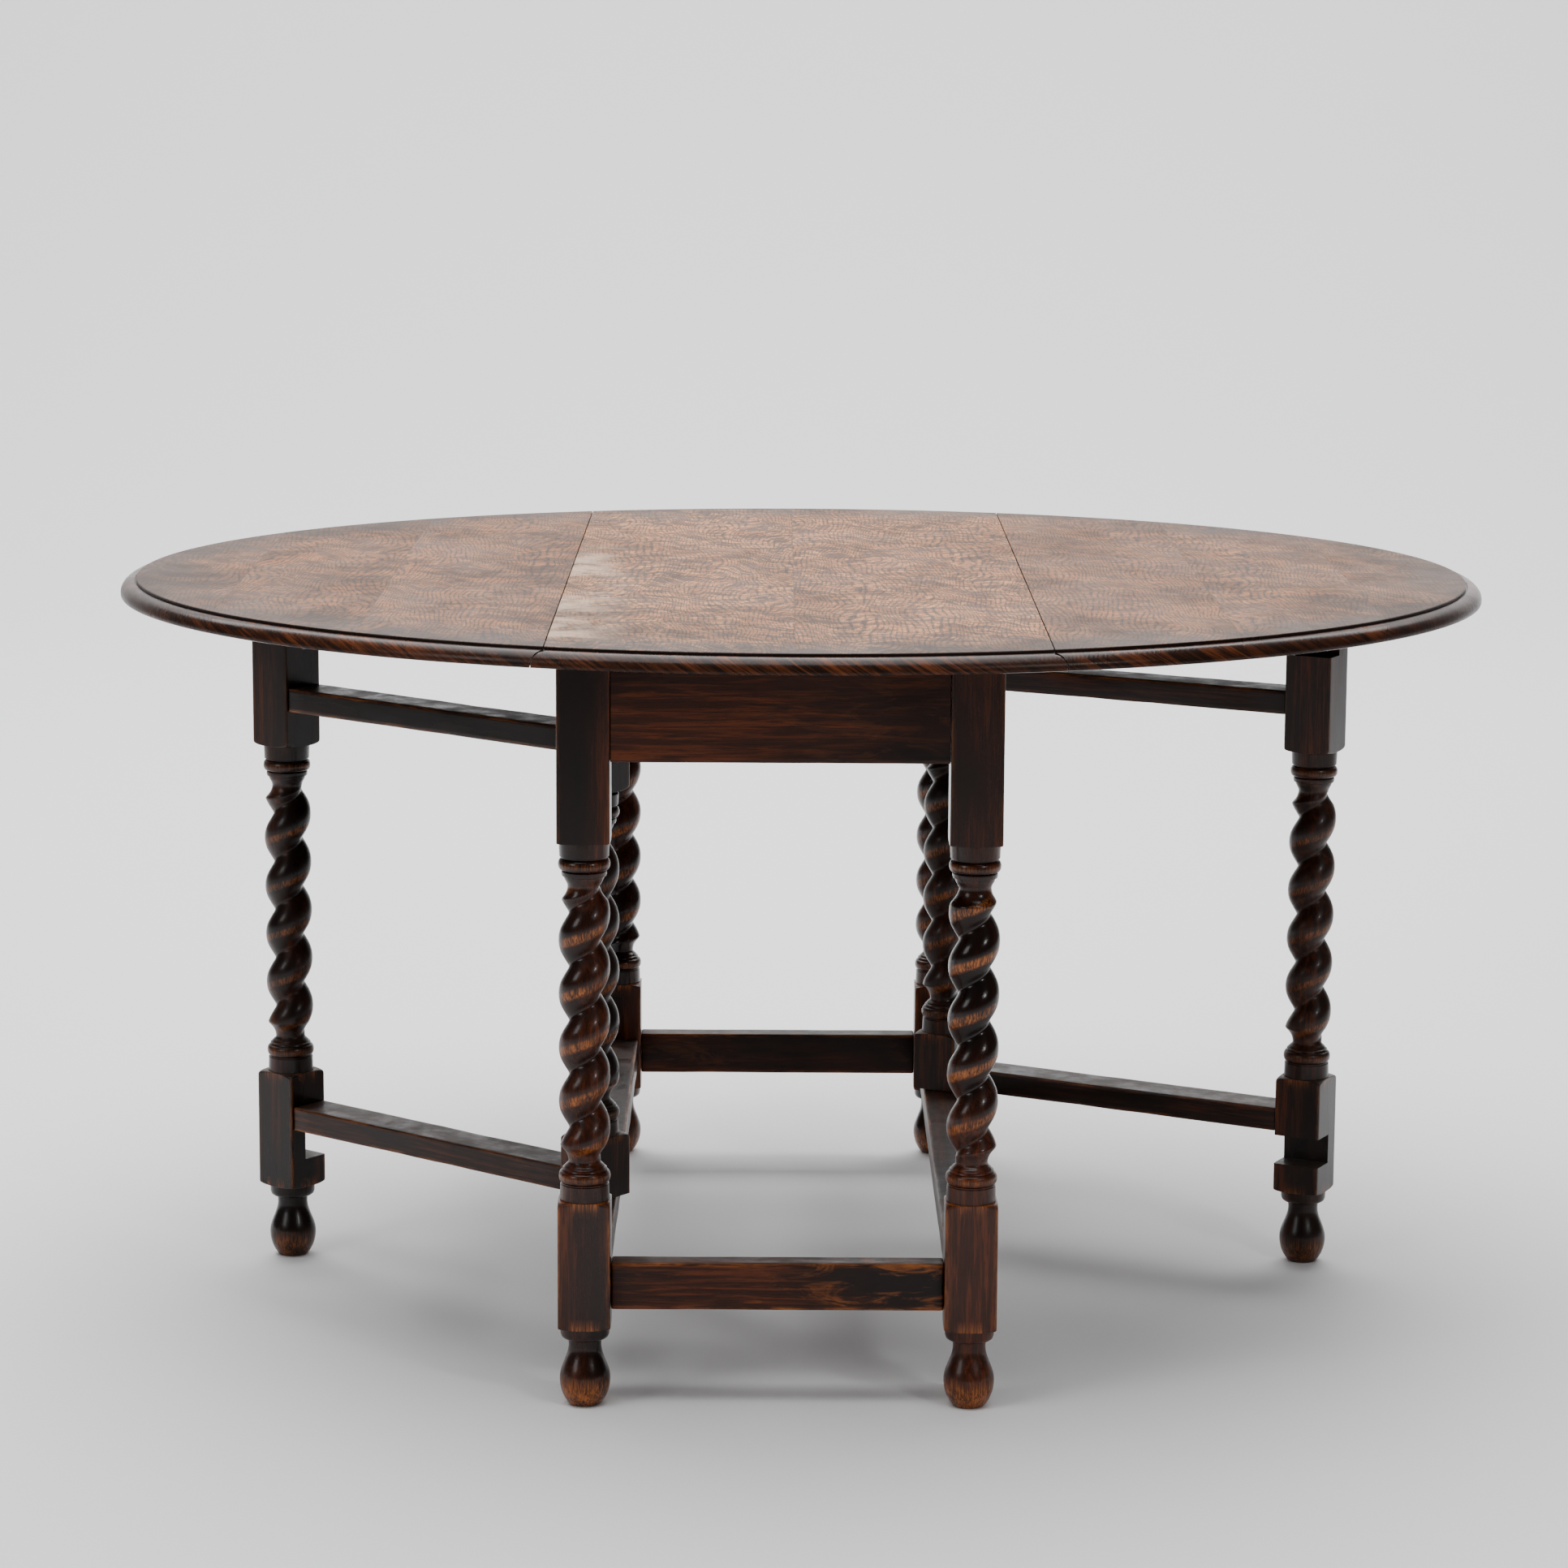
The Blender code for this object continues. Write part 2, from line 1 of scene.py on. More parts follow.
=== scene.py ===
# Gateleg table with barley-twist legs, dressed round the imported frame
# Everything is in metres, +Z up, with the object's near side towards -Y

from math import acos, asin, atan2, cos, exp, hypot, pi, radians, sin, sqrt, tau

import bmesh
import bpy
from mathutils import Matrix, Vector, noise
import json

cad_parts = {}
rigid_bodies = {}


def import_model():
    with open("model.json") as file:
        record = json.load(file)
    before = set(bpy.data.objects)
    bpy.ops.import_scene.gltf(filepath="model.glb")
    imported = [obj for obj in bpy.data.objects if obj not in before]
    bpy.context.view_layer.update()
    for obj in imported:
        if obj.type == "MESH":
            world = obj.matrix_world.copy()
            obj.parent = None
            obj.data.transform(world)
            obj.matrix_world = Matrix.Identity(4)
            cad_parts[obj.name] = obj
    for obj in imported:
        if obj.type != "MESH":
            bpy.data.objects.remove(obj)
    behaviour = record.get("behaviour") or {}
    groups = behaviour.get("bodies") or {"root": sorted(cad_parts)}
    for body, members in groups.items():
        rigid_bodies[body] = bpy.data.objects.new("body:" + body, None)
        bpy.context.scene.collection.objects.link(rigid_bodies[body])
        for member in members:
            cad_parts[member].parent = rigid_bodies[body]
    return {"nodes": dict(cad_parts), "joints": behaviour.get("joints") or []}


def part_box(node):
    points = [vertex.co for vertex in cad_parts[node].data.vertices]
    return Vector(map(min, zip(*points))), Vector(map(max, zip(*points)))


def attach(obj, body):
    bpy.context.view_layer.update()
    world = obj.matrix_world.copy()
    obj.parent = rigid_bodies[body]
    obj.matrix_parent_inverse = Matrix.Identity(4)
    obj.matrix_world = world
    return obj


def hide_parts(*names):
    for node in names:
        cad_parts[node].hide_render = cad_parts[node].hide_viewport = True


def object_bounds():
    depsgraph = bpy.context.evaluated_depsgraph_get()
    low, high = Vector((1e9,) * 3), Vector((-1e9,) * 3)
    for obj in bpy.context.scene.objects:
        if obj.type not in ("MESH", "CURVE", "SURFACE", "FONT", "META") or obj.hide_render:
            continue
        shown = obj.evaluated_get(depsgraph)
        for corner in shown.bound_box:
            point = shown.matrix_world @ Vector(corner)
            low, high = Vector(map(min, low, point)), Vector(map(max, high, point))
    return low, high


for old in list(bpy.data.objects):
    bpy.data.objects.remove(old, do_unlink=True)
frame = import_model()
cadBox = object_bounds()
print("frame loaded:", len(frame["nodes"]), "nodes")


# camera

cameraView = {
    "place": (-0.0272, -4.661, 1.3204),
    "heading": -0.0023,
    "tilt": 0.1708,
    "roll": 0.00566,
    "lens": 103.78,
    "sensor": 36.0,
}


def addCamera():
    data = bpy.data.cameras.new("camera")
    data.lens = cameraView["lens"]
    data.sensor_width = cameraView["sensor"]
    camera = bpy.data.objects.new("camera", data)
    bpy.context.scene.collection.objects.link(camera)
    aim = Matrix.Rotation(cameraView["heading"], 4, "Z")
    aim = aim @ Matrix.Rotation(pi / 2 - cameraView["tilt"], 4, "X")
    aim = aim @ Matrix.Rotation(cameraView["roll"], 4, "Z")
    camera.matrix_world = Matrix.Translation(cameraView["place"]) @ aim
    bpy.context.scene.camera = camera


addCamera()


# small helpers


def middleOf(node):
    low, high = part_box(node)
    return (low + high) / 2


def leafJoint(side):
    name = "leaf_right_hinge" if side > 0 else "leaf_left_hinge"
    found = [joint for joint in frame["joints"] if joint["name"] == name]
    return found[0]["pos_m"][0]


def makeObject(name, bm):
    mesh = bpy.data.meshes.new(name)
    bm.to_mesh(mesh)
    bm.free()
    piece = bpy.data.objects.new(name, mesh)
    bpy.context.scene.collection.objects.link(piece)
    return piece


def applyModifiers(piece):
    graph = bpy.context.evaluated_depsgraph_get()
    finished = bpy.data.meshes.new_from_object(piece.evaluated_get(graph))
    piece.modifiers.clear()
    piece.data = finished
    finished.name = piece.name


def combine(piece, cutters, operation="DIFFERENCE"):
    for cutter in cutters:
        change = piece.modifiers.new("cut", "BOOLEAN")
        change.operation = operation
        change.object = cutter
        change.solver = "EXACT"
    applyModifiers(piece)
    for cutter in cutters:
        bpy.data.objects.remove(cutter, do_unlink=True)


def storeWearAndRiserShade(piece, rule):
    # how rubbed each point is, from 0 to 1; on the top, how much dark edge finish a point has, with painted
    # shade in the riser and groove
    layer = piece.data.attributes.new("wearAndRiserShade", "FLOAT", "POINT")
    layer.data.foreach_set("value", [rule(vertex.co) for vertex in piece.data.vertices])


def finishPiece(piece, body, finish, nodes, sharp=35):
    mesh = piece.data
    mesh.materials.clear()
    mesh.materials.append(finish)
    mesh.shade_smooth()
    mesh.set_sharp_from_angle(angle=radians(sharp))
    if "wearAndRiserShade" not in mesh.attributes:
        storeWearAndRiserShade(piece, lambda point: 0.0)
    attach(piece, body)
    if nodes:
        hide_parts(*nodes)
    return piece


def smoothStep(low, high, value):
    share = min(1.0, max(0.0, (value - low) / (high - low)))
    return share * share * (3 - 2 * share)


# node helpers for the finishes


def startFinish(name):
    made = bpy.data.materials.new(name)
    made.use_nodes = True
    return made, made.node_tree


def put(tree, kind, inputs, **settings):
    node = tree.nodes.new(kind)
    for key, value in settings.items():
        setattr(node, key, value)
    for key, value in inputs.items():
        if isinstance(value, bpy.types.NodeSocket):
            tree.links.new(value, node.inputs[key])
        else:
            node.inputs[key].default_value = value
    return node


def maths(tree, operation, first, second=0.0, third=0.0):
    inputs = {0: first, 1: second, 2: third}
    return put(tree, "ShaderNodeMath", inputs, operation=operation).outputs[0]


def mixColours(tree, factor, first, second, blend="MIX"):
    inputs = {0: factor, 6: first, 7: second}
    return put(tree, "ShaderNodeMix", inputs, data_type="RGBA", blend_type=blend).outputs[2]


def spread(tree, value, low, high, toLow=0.0, toHigh=1.0):
    inputs = {"Value": value, "From Min": low, "From Max": high, "To Min": toLow, "To Max": toHigh}
    return put(tree, "ShaderNodeMapRange", inputs, interpolation_type="SMOOTHSTEP").outputs[0]


def speckle(tree, vector, scale, detail=4.0, roughness=0.55, distortion=0.0):
    inputs = {
        "Vector": vector,
        "Scale": scale,
        "Detail": detail,
        "Roughness": roughness,
        "Distortion": distortion,
    }
    return put(tree, "ShaderNodeTexNoise", inputs).outputs[0]


def stretched(tree, vector, scale):
    return put(tree, "ShaderNodeMapping", {"Vector": vector, "Scale": scale}).outputs[0]


def movedBy(tree, vector, x, y, z):
    shift = put(tree, "ShaderNodeCombineXYZ", {0: x, 1: y, 2: z}).outputs[0]
    return put(tree, "ShaderNodeVectorMath", {0: vector, 1: shift}, operation="ADD").outputs[0]


def rgba(colour):
    return (*colour, 1.0)


# oak for the underframe and the gates

grainTurns = {
    "x": (0.0, 0.0, 0.0),
    "y": (0.0, 0.0, -pi / 2),
    "z": (0.0, pi / 2, 0.0),
}

legLook = {
    "dark": (0.0042, 0.0019, 0.0012),
    "mid": (0.038, 0.0085, 0.0030),
    "streak": (0.150, 0.034, 0.0080),
    "worn": (0.500, 0.150, 0.034),
    "dusty": (0.080, 0.064, 0.052),
    "dust": 0.0,
    "streakAmount": 0.55,
    "figure": 0.0,
    "wearReach": 1.0,
    "gloss": 0.23,
    "specular": 0.24,
    "coat": 0.12,
}
railLook = dict(legLook, streakAmount=0.60, figure=0.08, dust=0.40, gloss=0.36, coat=0.0, specular=0.22)
figuredLook = dict(railLook, streakAmount=0.75, figure=0.55)
gateLook = dict(
    legLook, mid=(0.022, 0.0080, 0.0044), streakAmount=0.40, dust=0.60, gloss=0.30, coat=0.06, wearReach=0.80
)
bareLook = {
    "dark": (0.070, 0.040, 0.022),
    "mid": (0.150, 0.090, 0.050),
    "streak": (0.200, 0.125, 0.070),
    "worn": (0.240, 0.150, 0.085),
    "dusty": (0.20, 0.17, 0.13),
    "dust": 0.2,
    "streakAmount": 0.6,
    "figure": 0.0,
    "wearReach": 0.4,
    "gloss": 0.65,
    "specular": 0.30,
    "coat": 0.0,
}


def oakFinish(name, look, turn):
    made, tree = startFinish(name)
    shader = tree.nodes["Principled BSDF"]
    place = put(tree, "ShaderNodeTexCoord", {}).outputs["Object"]
    along = put(tree, "ShaderNodeMapping", {"Vector": place, "Rotation": turn}).outputs[0]
    broad = speckle(tree, stretched(tree, along, (3.0, 14.0, 14.0)), 1.0, 3.0)
    growth = speckle(tree, stretched(tree, along, (9.0, 190.0, 190.0)), 1.0, 4.0, 0.6, 0.6)
    pores = speckle(tree, stretched(tree, along, (60.0, 1500.0, 1500.0)), 1.0, 2.0)

    streaks = maths(tree, "MULTIPLY", spread(tree, growth, 0.44, 0.64), spread(tree, broad, 0.42, 0.62))
    streaks = maths(tree, "MULTIPLY", streaks, look["streakAmount"])
    colour = mixColours(tree, spread(tree, broad, 0.30, 0.70), rgba(look["dark"]), rgba(look["mid"]))
    colour = mixColours(tree, streaks, colour, rgba(look["streak"]))
    # lighter figure where the finish has thinned
    figure = speckle(tree, stretched(tree, along, (14.0, 52.0, 52.0)), 1.0, 5.0, 0.62, 1.2)
    thinned = speckle(tree, stretched(tree, along, (5.0, 5.0, 5.0)), 1.0, 2.0)
    figure = maths(tree, "MULTIPLY", spread(tree, figure, 0.50, 0.62), spread(tree, thinned, 0.44, 0.58))
    figure = maths(tree, "MULTIPLY", figure, look["figure"])
    colour = mixColours(tree, figure, colour, rgba([part * 0.62 for part in look["worn"]]))

    worn = put(tree, "ShaderNodeAttribute", {}, attribute_name="wearAndRiserShade").outputs["Fac"]
    patch = speckle(tree, stretched(tree, along, (22.0, 60.0, 60.0)), 1.0, 5.0, 0.65)
    fibre = speckle(tree, stretched(tree, along, (35.0, 700.0, 700.0)), 1.0, 3.0, 0.7)
    ragged = maths(tree, "ADD", maths(tree, "MULTIPLY", patch, 0.75), maths(tree, "MULTIPLY", fibre, 0.55))
    rubbed = maths(tree, "MULTIPLY", worn, spread(tree, ragged, 0.46, 0.82))
    rubbed = maths(tree, "MULTIPLY", rubbed, look["wearReach"])
    fibreShare = spread(tree, fibre, 0.36, 0.62)
    wornTone = mixColours(tree, fibreShare, rgba([part * 0.30 for part in look["worn"]]), rgba(look["worn"]))
    colour = mixColours(tree, rubbed, colour, wornTone)
    colour = mixColours(tree, spread(tree, pores, 0.50, 0.36, 0.0, 0.45), colour, rgba(look["dark"]))

    # dust lies on what faces up
    facing = put(tree, "ShaderNodeNewGeometry", {}).outputs["Normal"]
    height = put(tree, "ShaderNodeSeparateXYZ", {0: facing}).outputs[2]
    settled = speckle(tree, place, 45.0, 5.0, 0.65)
    settled = maths(tree, "MULTIPLY", spread(tree, height, 0.55, 0.95), spread(tree, settled, 0.30, 0.70))
    settled = maths(tree, "MULTIPLY", settled, look["dust"])
    colour = mixColours(tree, settled, colour, rgba(look["dusty"]))
    tree.links.new(colour, shader.inputs["Base Color"])

    rough = spread(tree, broad, 0.30, 0.70, look["gloss"] - 0.05, look["gloss"] + 0.12)
    rough = maths(tree, "ADD", rough, maths(tree, "MULTIPLY", settled, 0.5))
    tree.links.new(rough, shader.inputs["Roughness"])
    shader.inputs["Specular IOR Level"].default_value = look["specular"]
    shader.inputs["Coat Weight"].default_value = look["coat"]
    shader.inputs["Coat Roughness"].default_value = 0.08
    relief = maths(tree, "ADD", maths(tree, "MULTIPLY", growth, 0.6), maths(tree, "MULTIPLY", pores, 0.4))
    inputs = {"Strength": 0.28, "Distance": 0.0006, "Height": relief}
    tree.links.new(put(tree, "ShaderNodeBump", inputs).outputs[0], shader.inputs["Normal"])
    return made


# the oak of the top

topLook = {
    "ground": (0.128, 0.046, 0.0165),
    "shade": (0.030, 0.012, 0.006),
    "smoke": (0.038, 0.030, 0.027),
    "warm": (0.290, 0.104, 0.030),
    "ray": (0.640, 0.270, 0.085),
    "line": (0.011, 0.005, 0.003),
    "bleach": (0.520, 0.370, 0.260),
    # edgeDark is also the painted shade in the moulded edge's riser and groove
    "edgeDark": (0.013, 0.006, 0.004),
    "edgeRed": (0.120, 0.034, 0.012),
    "joints": (-0.570, -0.419, -0.008, 0.410, 0.562),
    "lineDensity": 205.0,
    "lineWander": 20.0,
    "boardShift": 7.3,  # keeps one board's figure apart from the next
    "boardTone": 0.37,
    "edgeLean": 1.6,
    "hairDark": 0.32,
    "gloss": 0.46,
    "specular": 0.15,
}


def topFinish():
    made, tree = startFinish("oakTop")
    shader = tree.nodes["Principled BSDF"]
    place = put(tree, "ShaderNodeTexCoord", {}).outputs["Object"]
    axes = put(tree, "ShaderNodeSeparateXYZ", {0: place}).outputs
    # each board has its own tone and its own run of the figure
    steps = [maths(tree, "GREATER_THAN", axes[0], joint) for joint in topLook["joints"]]
    board = steps[0]
    for step in steps[1:]:
        board = maths(tree, "ADD", board, step)
    deeper = maths(tree, "MULTIPLY", board, topLook["boardShift"])
    moved = movedBy(tree, place, board, board, deeper)
    leftJoint, rightJoint = leafJoint(-1), leafJoint(1)
    inMiddle = maths(tree, "GREATER_THAN", axes[0], leftJoint)
    inMiddle = maths(tree, "MULTIPLY", inMiddle, maths(tree, "LESS_THAN", axes[0], rightJoint))

    cloud = speckle(tree, stretched(tree, moved, (6.0, 3.5, 3.0)), 1.0, 7.0, 0.70)
    wander = speckle(tree, stretched(tree, moved, (11.0, 3.6, 4.5)), 1.0, 2.0, 0.45)
    # medullary rays: short wavy ribbons across the grain
    slant = maths(tree, "MULTIPLY", axes[0], 0.35)
    bend = maths(tree, "ADD", maths(tree, "MULTIPLY", wander, 0.16), slant)
    bent = movedBy(tree, moved, 0.0, bend, 0.0)
    rays = speckle(tree, stretched(tree, bent, (26.0, 64.0, 40.0)), 1.0, 3.0, 0.60, 0.5)
    rays = maths(tree, "ABSOLUTE", maths(tree, "SUBTRACT", rays, 0.5))
    rays = spread(tree, rays, 0.050, 0.008)
    mottle = speckle(tree, stretched(tree, bent, (16.0, 26.0, 20.0)), 1.0, 5.0, 0.65)
    # growth lines along the grain, wandering like contours
    phase = maths(tree, "MULTIPLY", axes[0], topLook["lineDensity"])
    phase = maths(tree, "ADD", phase, maths(tree, "MULTIPLY", wander, topLook["lineWander"]))
    rings = maths(tree, "SINE", maths(tree, "MULTIPLY", phase, tau))
    breaks = speckle(tree, stretched(tree, moved, (300.0, 45.0, 300.0)), 1.0, 3.0, 0.6)
    pores = speckle(tree, stretched(tree, moved, (1100.0, 42.0, 300.0)), 1.0, 2.0)

    tone = maths(tree, "FRACT", maths(tree, "MULTIPLY", board, topLook["boardTone"]))
    darker = maths(tree, "ADD", spread(tree, cloud, 0.38, 0.66), maths(tree, "MULTIPLY", tone, 0.30))
    darker = maths(tree, "MULTIPLY", darker, 0.60)
    colour = mixColours(tree, darker, rgba(topLook["ground"]), rgba(topLook["shade"]))
    warmShare = maths(tree, "MULTIPLY", spread(tree, mottle, 0.46, 0.62), 0.75)
    colour = mixColours(tree, warmShare, colour, rgba(topLook["warm"]))
    rayPlace = maths(tree, "ADD", maths(tree, "MULTIPLY", inMiddle, 0.50), 0.40)
    rayShare = maths(tree, "MULTIPLY", rays, spread(tree, cloud, 0.66, 0.44, 0.25, 1.0))
    colour = mixColours(tree, maths(tree, "MULTIPLY", rayShare, rayPlace), colour, rgba(topLook["ray"]))
    lineShare = maths(tree, "MULTIPLY", spread(tree, rings, -0.2, 0.9), spread(tree, breaks, 0.36, 0.56))
    lineShare = maths(tree, "MULTIPLY", lineShare, 0.85)
    colour = mixColours(tree, lineShare, colour, rgba(topLook["line"]))
    colour = mixColours(tree, spread(tree, pores, 0.48, 0.34, 0.0, 0.6), colour, rgba(topLook["line"]))

    # smoky towards the rim, the front of the middle and the board ends
    halfLength, halfDepth = cadBox[1].x, cadBox[1].y
    outX = maths(tree, "POWER", maths(tree, "ABSOLUTE", maths(tree, "DIVIDE", axes[0], halfLength)), 2.0)
    outY = maths(tree, "POWER", maths(tree, "ABSOLUTE", maths(tree, "DIVIDE", axes[1], halfDepth)), 2.0)
    outward = maths(tree, "SQRT", maths(tree, "ADD", outX, outY))
    smoky = speckle(tree, stretched(tree, place, (7.0, 9.0, 5.0)), 1.0, 4.0, 0.6)
    reach = maths(tree, "ADD", outward, maths(tree, "MULTIPLY", smoky, 0.34))
    smokeShare = spread(tree, reach, 0.95, 1.17, 0.0, 0.74)
    colour = mixColours(tree, smokeShare, colour, rgba(topLook["smoke"]))

    # bleached by water along the left joint of the middle panel
    fromJoint = maths(tree, "SUBTRACT", axes[0], leftJoint)
    nearJoint = maths(tree, "MULTIPLY", inMiddle, spread(tree, fromJoint, 0.085, 0.006))
    nearJoint = maths(tree, "MULTIPLY", nearJoint, spread(tree, axes[1], 0.30, 0.05))
    nearJoint = maths(tree, "MULTIPLY", nearJoint, spread(tree, axes[1], -0.60, -0.50))
    splash = speckle(tree, stretched(tree, place, (12.0, 13.0, 1.0)), 1.0, 6.0, 0.68, 0.4)
    splash = maths(tree, "MULTIPLY", nearJoint, spread(tree, splash, 0.42, 0.62))
    colour = mixColours(tree, maths(tree, "MULTIPLY", splash, 0.72), colour, rgba(topLook["bleach"]))

    # hairline joints between the boards
    dark = rgba(topLook["edgeDark"])
    hair = None
    for joint in topLook["joints"]:
        away = maths(tree, "ABSOLUTE", maths(tree, "SUBTRACT", axes[0], joint))
        line = spread(tree, away, 0.0011, 0.0004)
        hair = line if hair is None else maths(tree, "MAXIMUM", hair, line)
    hairShare = maths(tree, "MULTIPLY", hair, topLook["hairDark"])
    colour = mixColours(tree, hairShare, colour, dark)

    # the moulded edge is darker and redder, and its riser and groove are painted near black as painted shade
    edge = put(tree, "ShaderNodeAttribute", {}, attribute_name="wearAndRiserShade").outputs["Fac"]
    onEdge = spread(tree, edge, 0.15, 0.45)
    leaning = movedBy(tree, place, maths(tree, "MULTIPLY", axes[2], topLook["edgeLean"]), 0.0, 0.0)
    fibre = speckle(tree, stretched(tree, leaning, (150.0, 22.0, 22.0)), 1.0, 5.0, 0.75, 0.3)
    red = mixColours(tree, spread(tree, fibre, 0.40, 0.66), dark, rgba(topLook["edgeRed"]))
    patches = speckle(tree, stretched(tree, place, (6.0, 6.0, 20.0)), 1.0, 3.0)
    red = mixColours(tree, spread(tree, patches, 0.64, 0.40, 0.0, 0.75), red, dark)
    # points marked 0.5, the riser and groove, stay near black: painted shade
    red = mixColours(tree, spread(tree, edge, 0.65, 0.95), dark, red)
    colour = mixColours(tree, onEdge, colour, red)
    tree.links.new(colour, shader.inputs["Base Color"])

    rough = spread(tree, cloud, 0.30, 0.70, topLook["gloss"] - 0.05, topLook["gloss"] + 0.10)
    rough = maths(tree, "SUBTRACT", rough, maths(tree, "MULTIPLY", onEdge, 0.22))
    tree.links.new(rough, shader.inputs["Roughness"])
    shader.inputs["Specular IOR Level"].default_value = topLook["specular"]
    relief = maths(tree, "ADD", maths(tree, "MULTIPLY", rings, -0.12), maths(tree, "MULTIPLY", pores, 0.75))
    relief = maths(tree, "SUBTRACT", relief, maths(tree, "MULTIPLY", hair, 0.6))
    inputs = {"Strength": 0.30, "Distance": 0.0005, "Height": relief}
    tree.links.new(put(tree, "ShaderNodeBump", inputs).outputs[0], shader.inputs["Normal"])
    return made


ironLook = {
    "metal": (0.060, 0.055, 0.050),
    "tarnish": (0.075, 0.042, 0.026),
}


def ironFinish():
    made, tree = startFinish("tarnishedIron")
    shader = tree.nodes["Principled BSDF"]
    place = put(tree, "ShaderNodeTexCoord", {}).outputs["Object"]
    blotch = speckle(tree, place, 160.0, 6.0, 0.65)
    grit = speckle(tree, place, 1400.0, 3.0)
    share = spread(tree, blotch, 0.42, 0.62)
    colour = mixColours(tree, share, rgba(ironLook["metal"]), rgba(ironLook["tarnish"]))
    tree.links.new(colour, shader.inputs["Base Color"])
    tree.links.new(spread(tree, share, 0.0, 1.0, 0.90, 0.35), shader.inputs["Metallic"])
    tree.links.new(spread(tree, blotch, 0.35, 0.65, 0.38, 0.70), shader.inputs["Roughness"])
    inputs = {"Strength": 0.3, "Distance": 0.0003, "Height": grit}
    tree.links.new(put(tree, "ShaderNodeBump", inputs).outputs[0], shader.inputs["Normal"])
    return made


# the oval top: a middle panel and two leaves with rule joints

topShape = {
    "edgeStep": 0.0030,  # riser between the flat and the rounded edge
    "edgeRound": 0.0145,
    "edgeBand": 0.0035,
    "groove": 0.0006,
    "ledge": 0.0016,
    "riserLean": 0.0001,
    "soften": 0.0006,
    "softenIn": 0.0008,
    "underside": ((0.0022, 0.0), (0.0006, 0.0006), (0.0, 0.0020)),  # inset and rise of the lowest rings
    "roundSteps": 14,
    "sides": 320,
    "jointFillet": 0.004,
    "pinRise": 0.0025,
    "jointGap": 0.0011,
    "jointSteps": 14,
    "past": 0.02,  # the joint cutters reach this far above and below
    "panelReach": 1.0,
    "flatDepth": 0.0003,  # what is higher than this below the top counts as flat
    "riserDepth": 0.010,
}


def roundRun(centre, radii, start, end, steps):
    angles = [start + (end - start) * i / steps for i in range(steps + 1)]
    return [(centre[0] + radii[0] * cos(a), centre[1] + radii[1] * sin(a)) for a in angles]


def ovalPoint(halfLength, halfDepth, angle, inset, z):
    # a point this far inside the oval, measured square to its edge
    outward = Vector((halfDepth * cos(angle), halfLength * sin(angle))).normalized()
    x = halfLength * cos(angle) - inset * outward.x
    y = halfDepth * sin(angle) - inset * outward.y
    return Vector((x, y, z))


def edgeProfile(low, high):
    shape = topShape
    bandTop = low + shape["edgeBand"]
    roundTop = high - shape["edgeStep"]
    outer = shape["edgeRound"]
    riser = outer + shape["ledge"]
    grooveZ = roundTop - shape["groove"]
    profile = [(inset, low + rise) for inset, rise in shape["underside"]]
    profile += roundRun((outer, bandTop), (outer, roundTop - bandTop), pi, pi / 2, shape["roundSteps"])
    profile += [(outer + shape["groove"], grooveZ), (riser, grooveZ)]
    profile += [(riser + shape["riserLean"], high - shape["soften"]), (riser + shape["softenIn"], high)]
    return profile


def placeKey(vertex):
    return tuple(round(value, 7) for value in vertex.co)


def ovalSlab(low, high):
    halfLength, halfDepth = cadBox[1].x, cadBox[1].y
    profile = edgeProfile(low, high)
    bm = bmesh.new()
    bmesh.ops.create_circle(bm, segments=topShape["sides"], radius=1.0)
    angles = {vertex: atan2(vertex.co.y, vertex.co.x) for vertex in bm.verts}
    ring = bottomRing = bm.edges[:]
    for level, (inset, z) in enumerate(profile):
        if level:
            # each new point takes the angle of the point it was pushed from
            places = {placeKey(vertex): angle for vertex, angle in angles.items()}
            made = bmesh.ops.extrude_edge_only(bm, edges=ring)["geom"]
            ring = [item for item in made if isinstance(item, bmesh.types.BMEdge)]
            moved = [item for item in made if isinstance(item, bmesh.types.BMVert)]
            angles = {vertex: places[placeKey(vertex)] for vertex in moved}
        for vertex, angle in angles.items():
            vertex.co = ovalPoint(halfLength, halfDepth, angle, inset, z)
    bmesh.ops.contextual_create(bm, geom=bottomRing)
    bmesh.ops.contextual_create(bm, geom=ring)
    bmesh.ops.recalc_face_normals(bm, faces=bm.faces)
    return makeObject("slab", bm)


def jointOutline(side, gap, low, high):
    # from under the top up the hollow or the round of the rule joint
    pinZ = low + topShape["pinRise"]
    radius = high - topShape["jointFillet"] - pinZ + gap
    curve = roundRun((0.0, pinZ), (radius, radius), 0.0, acos(gap / radius), topShape["jointSteps"])
    points = [(radius, low - topShape["past"])] + curve + [(gap, high + topShape["past"])]
    return [(leafJoint(side) + side * x, z) for x, z in points]


def prism(name, outline, nearY, farY):
    bm = bmesh.new()
    face = bm.faces.new([bm.verts.new((x, nearY, z)) for x, z in outline])
    pushed = bmesh.ops.extrude_face_region(bm, geom=[face])["geom"]
    moved = [item for item in pushed if isinstance(item, bmesh.types.BMVert)]
    bmesh.ops.translate(bm, vec=(0, farY - nearY, 0), verts=moved)
    bmesh.ops.recalc_face_normals(bm, faces=bm.faces)
    return makeObject(name, bm)


def edgeFinishAndRiserShade(point):
    # how much of the edge's dark finish a point has; the riser and groove get 0.5, which the top's finish
    # paints near black as painted shade
    halfLength, halfDepth = cadBox[1].x, cadBox[1].y
    inside = topShape["edgeRound"] + topShape["ledge"]
    share = hypot(point.x / (halfLength - inside), point.y / (halfDepth - inside))
    under = cadBox[1].z - point.z
    if under < topShape["flatDepth"] or share < 0.97:
        return 0.0
    # the riser and groove get 0.5: painted shade in the top's finish
    return 0.5 if share < 1.002 and under < topShape["riserDepth"] else 1.0


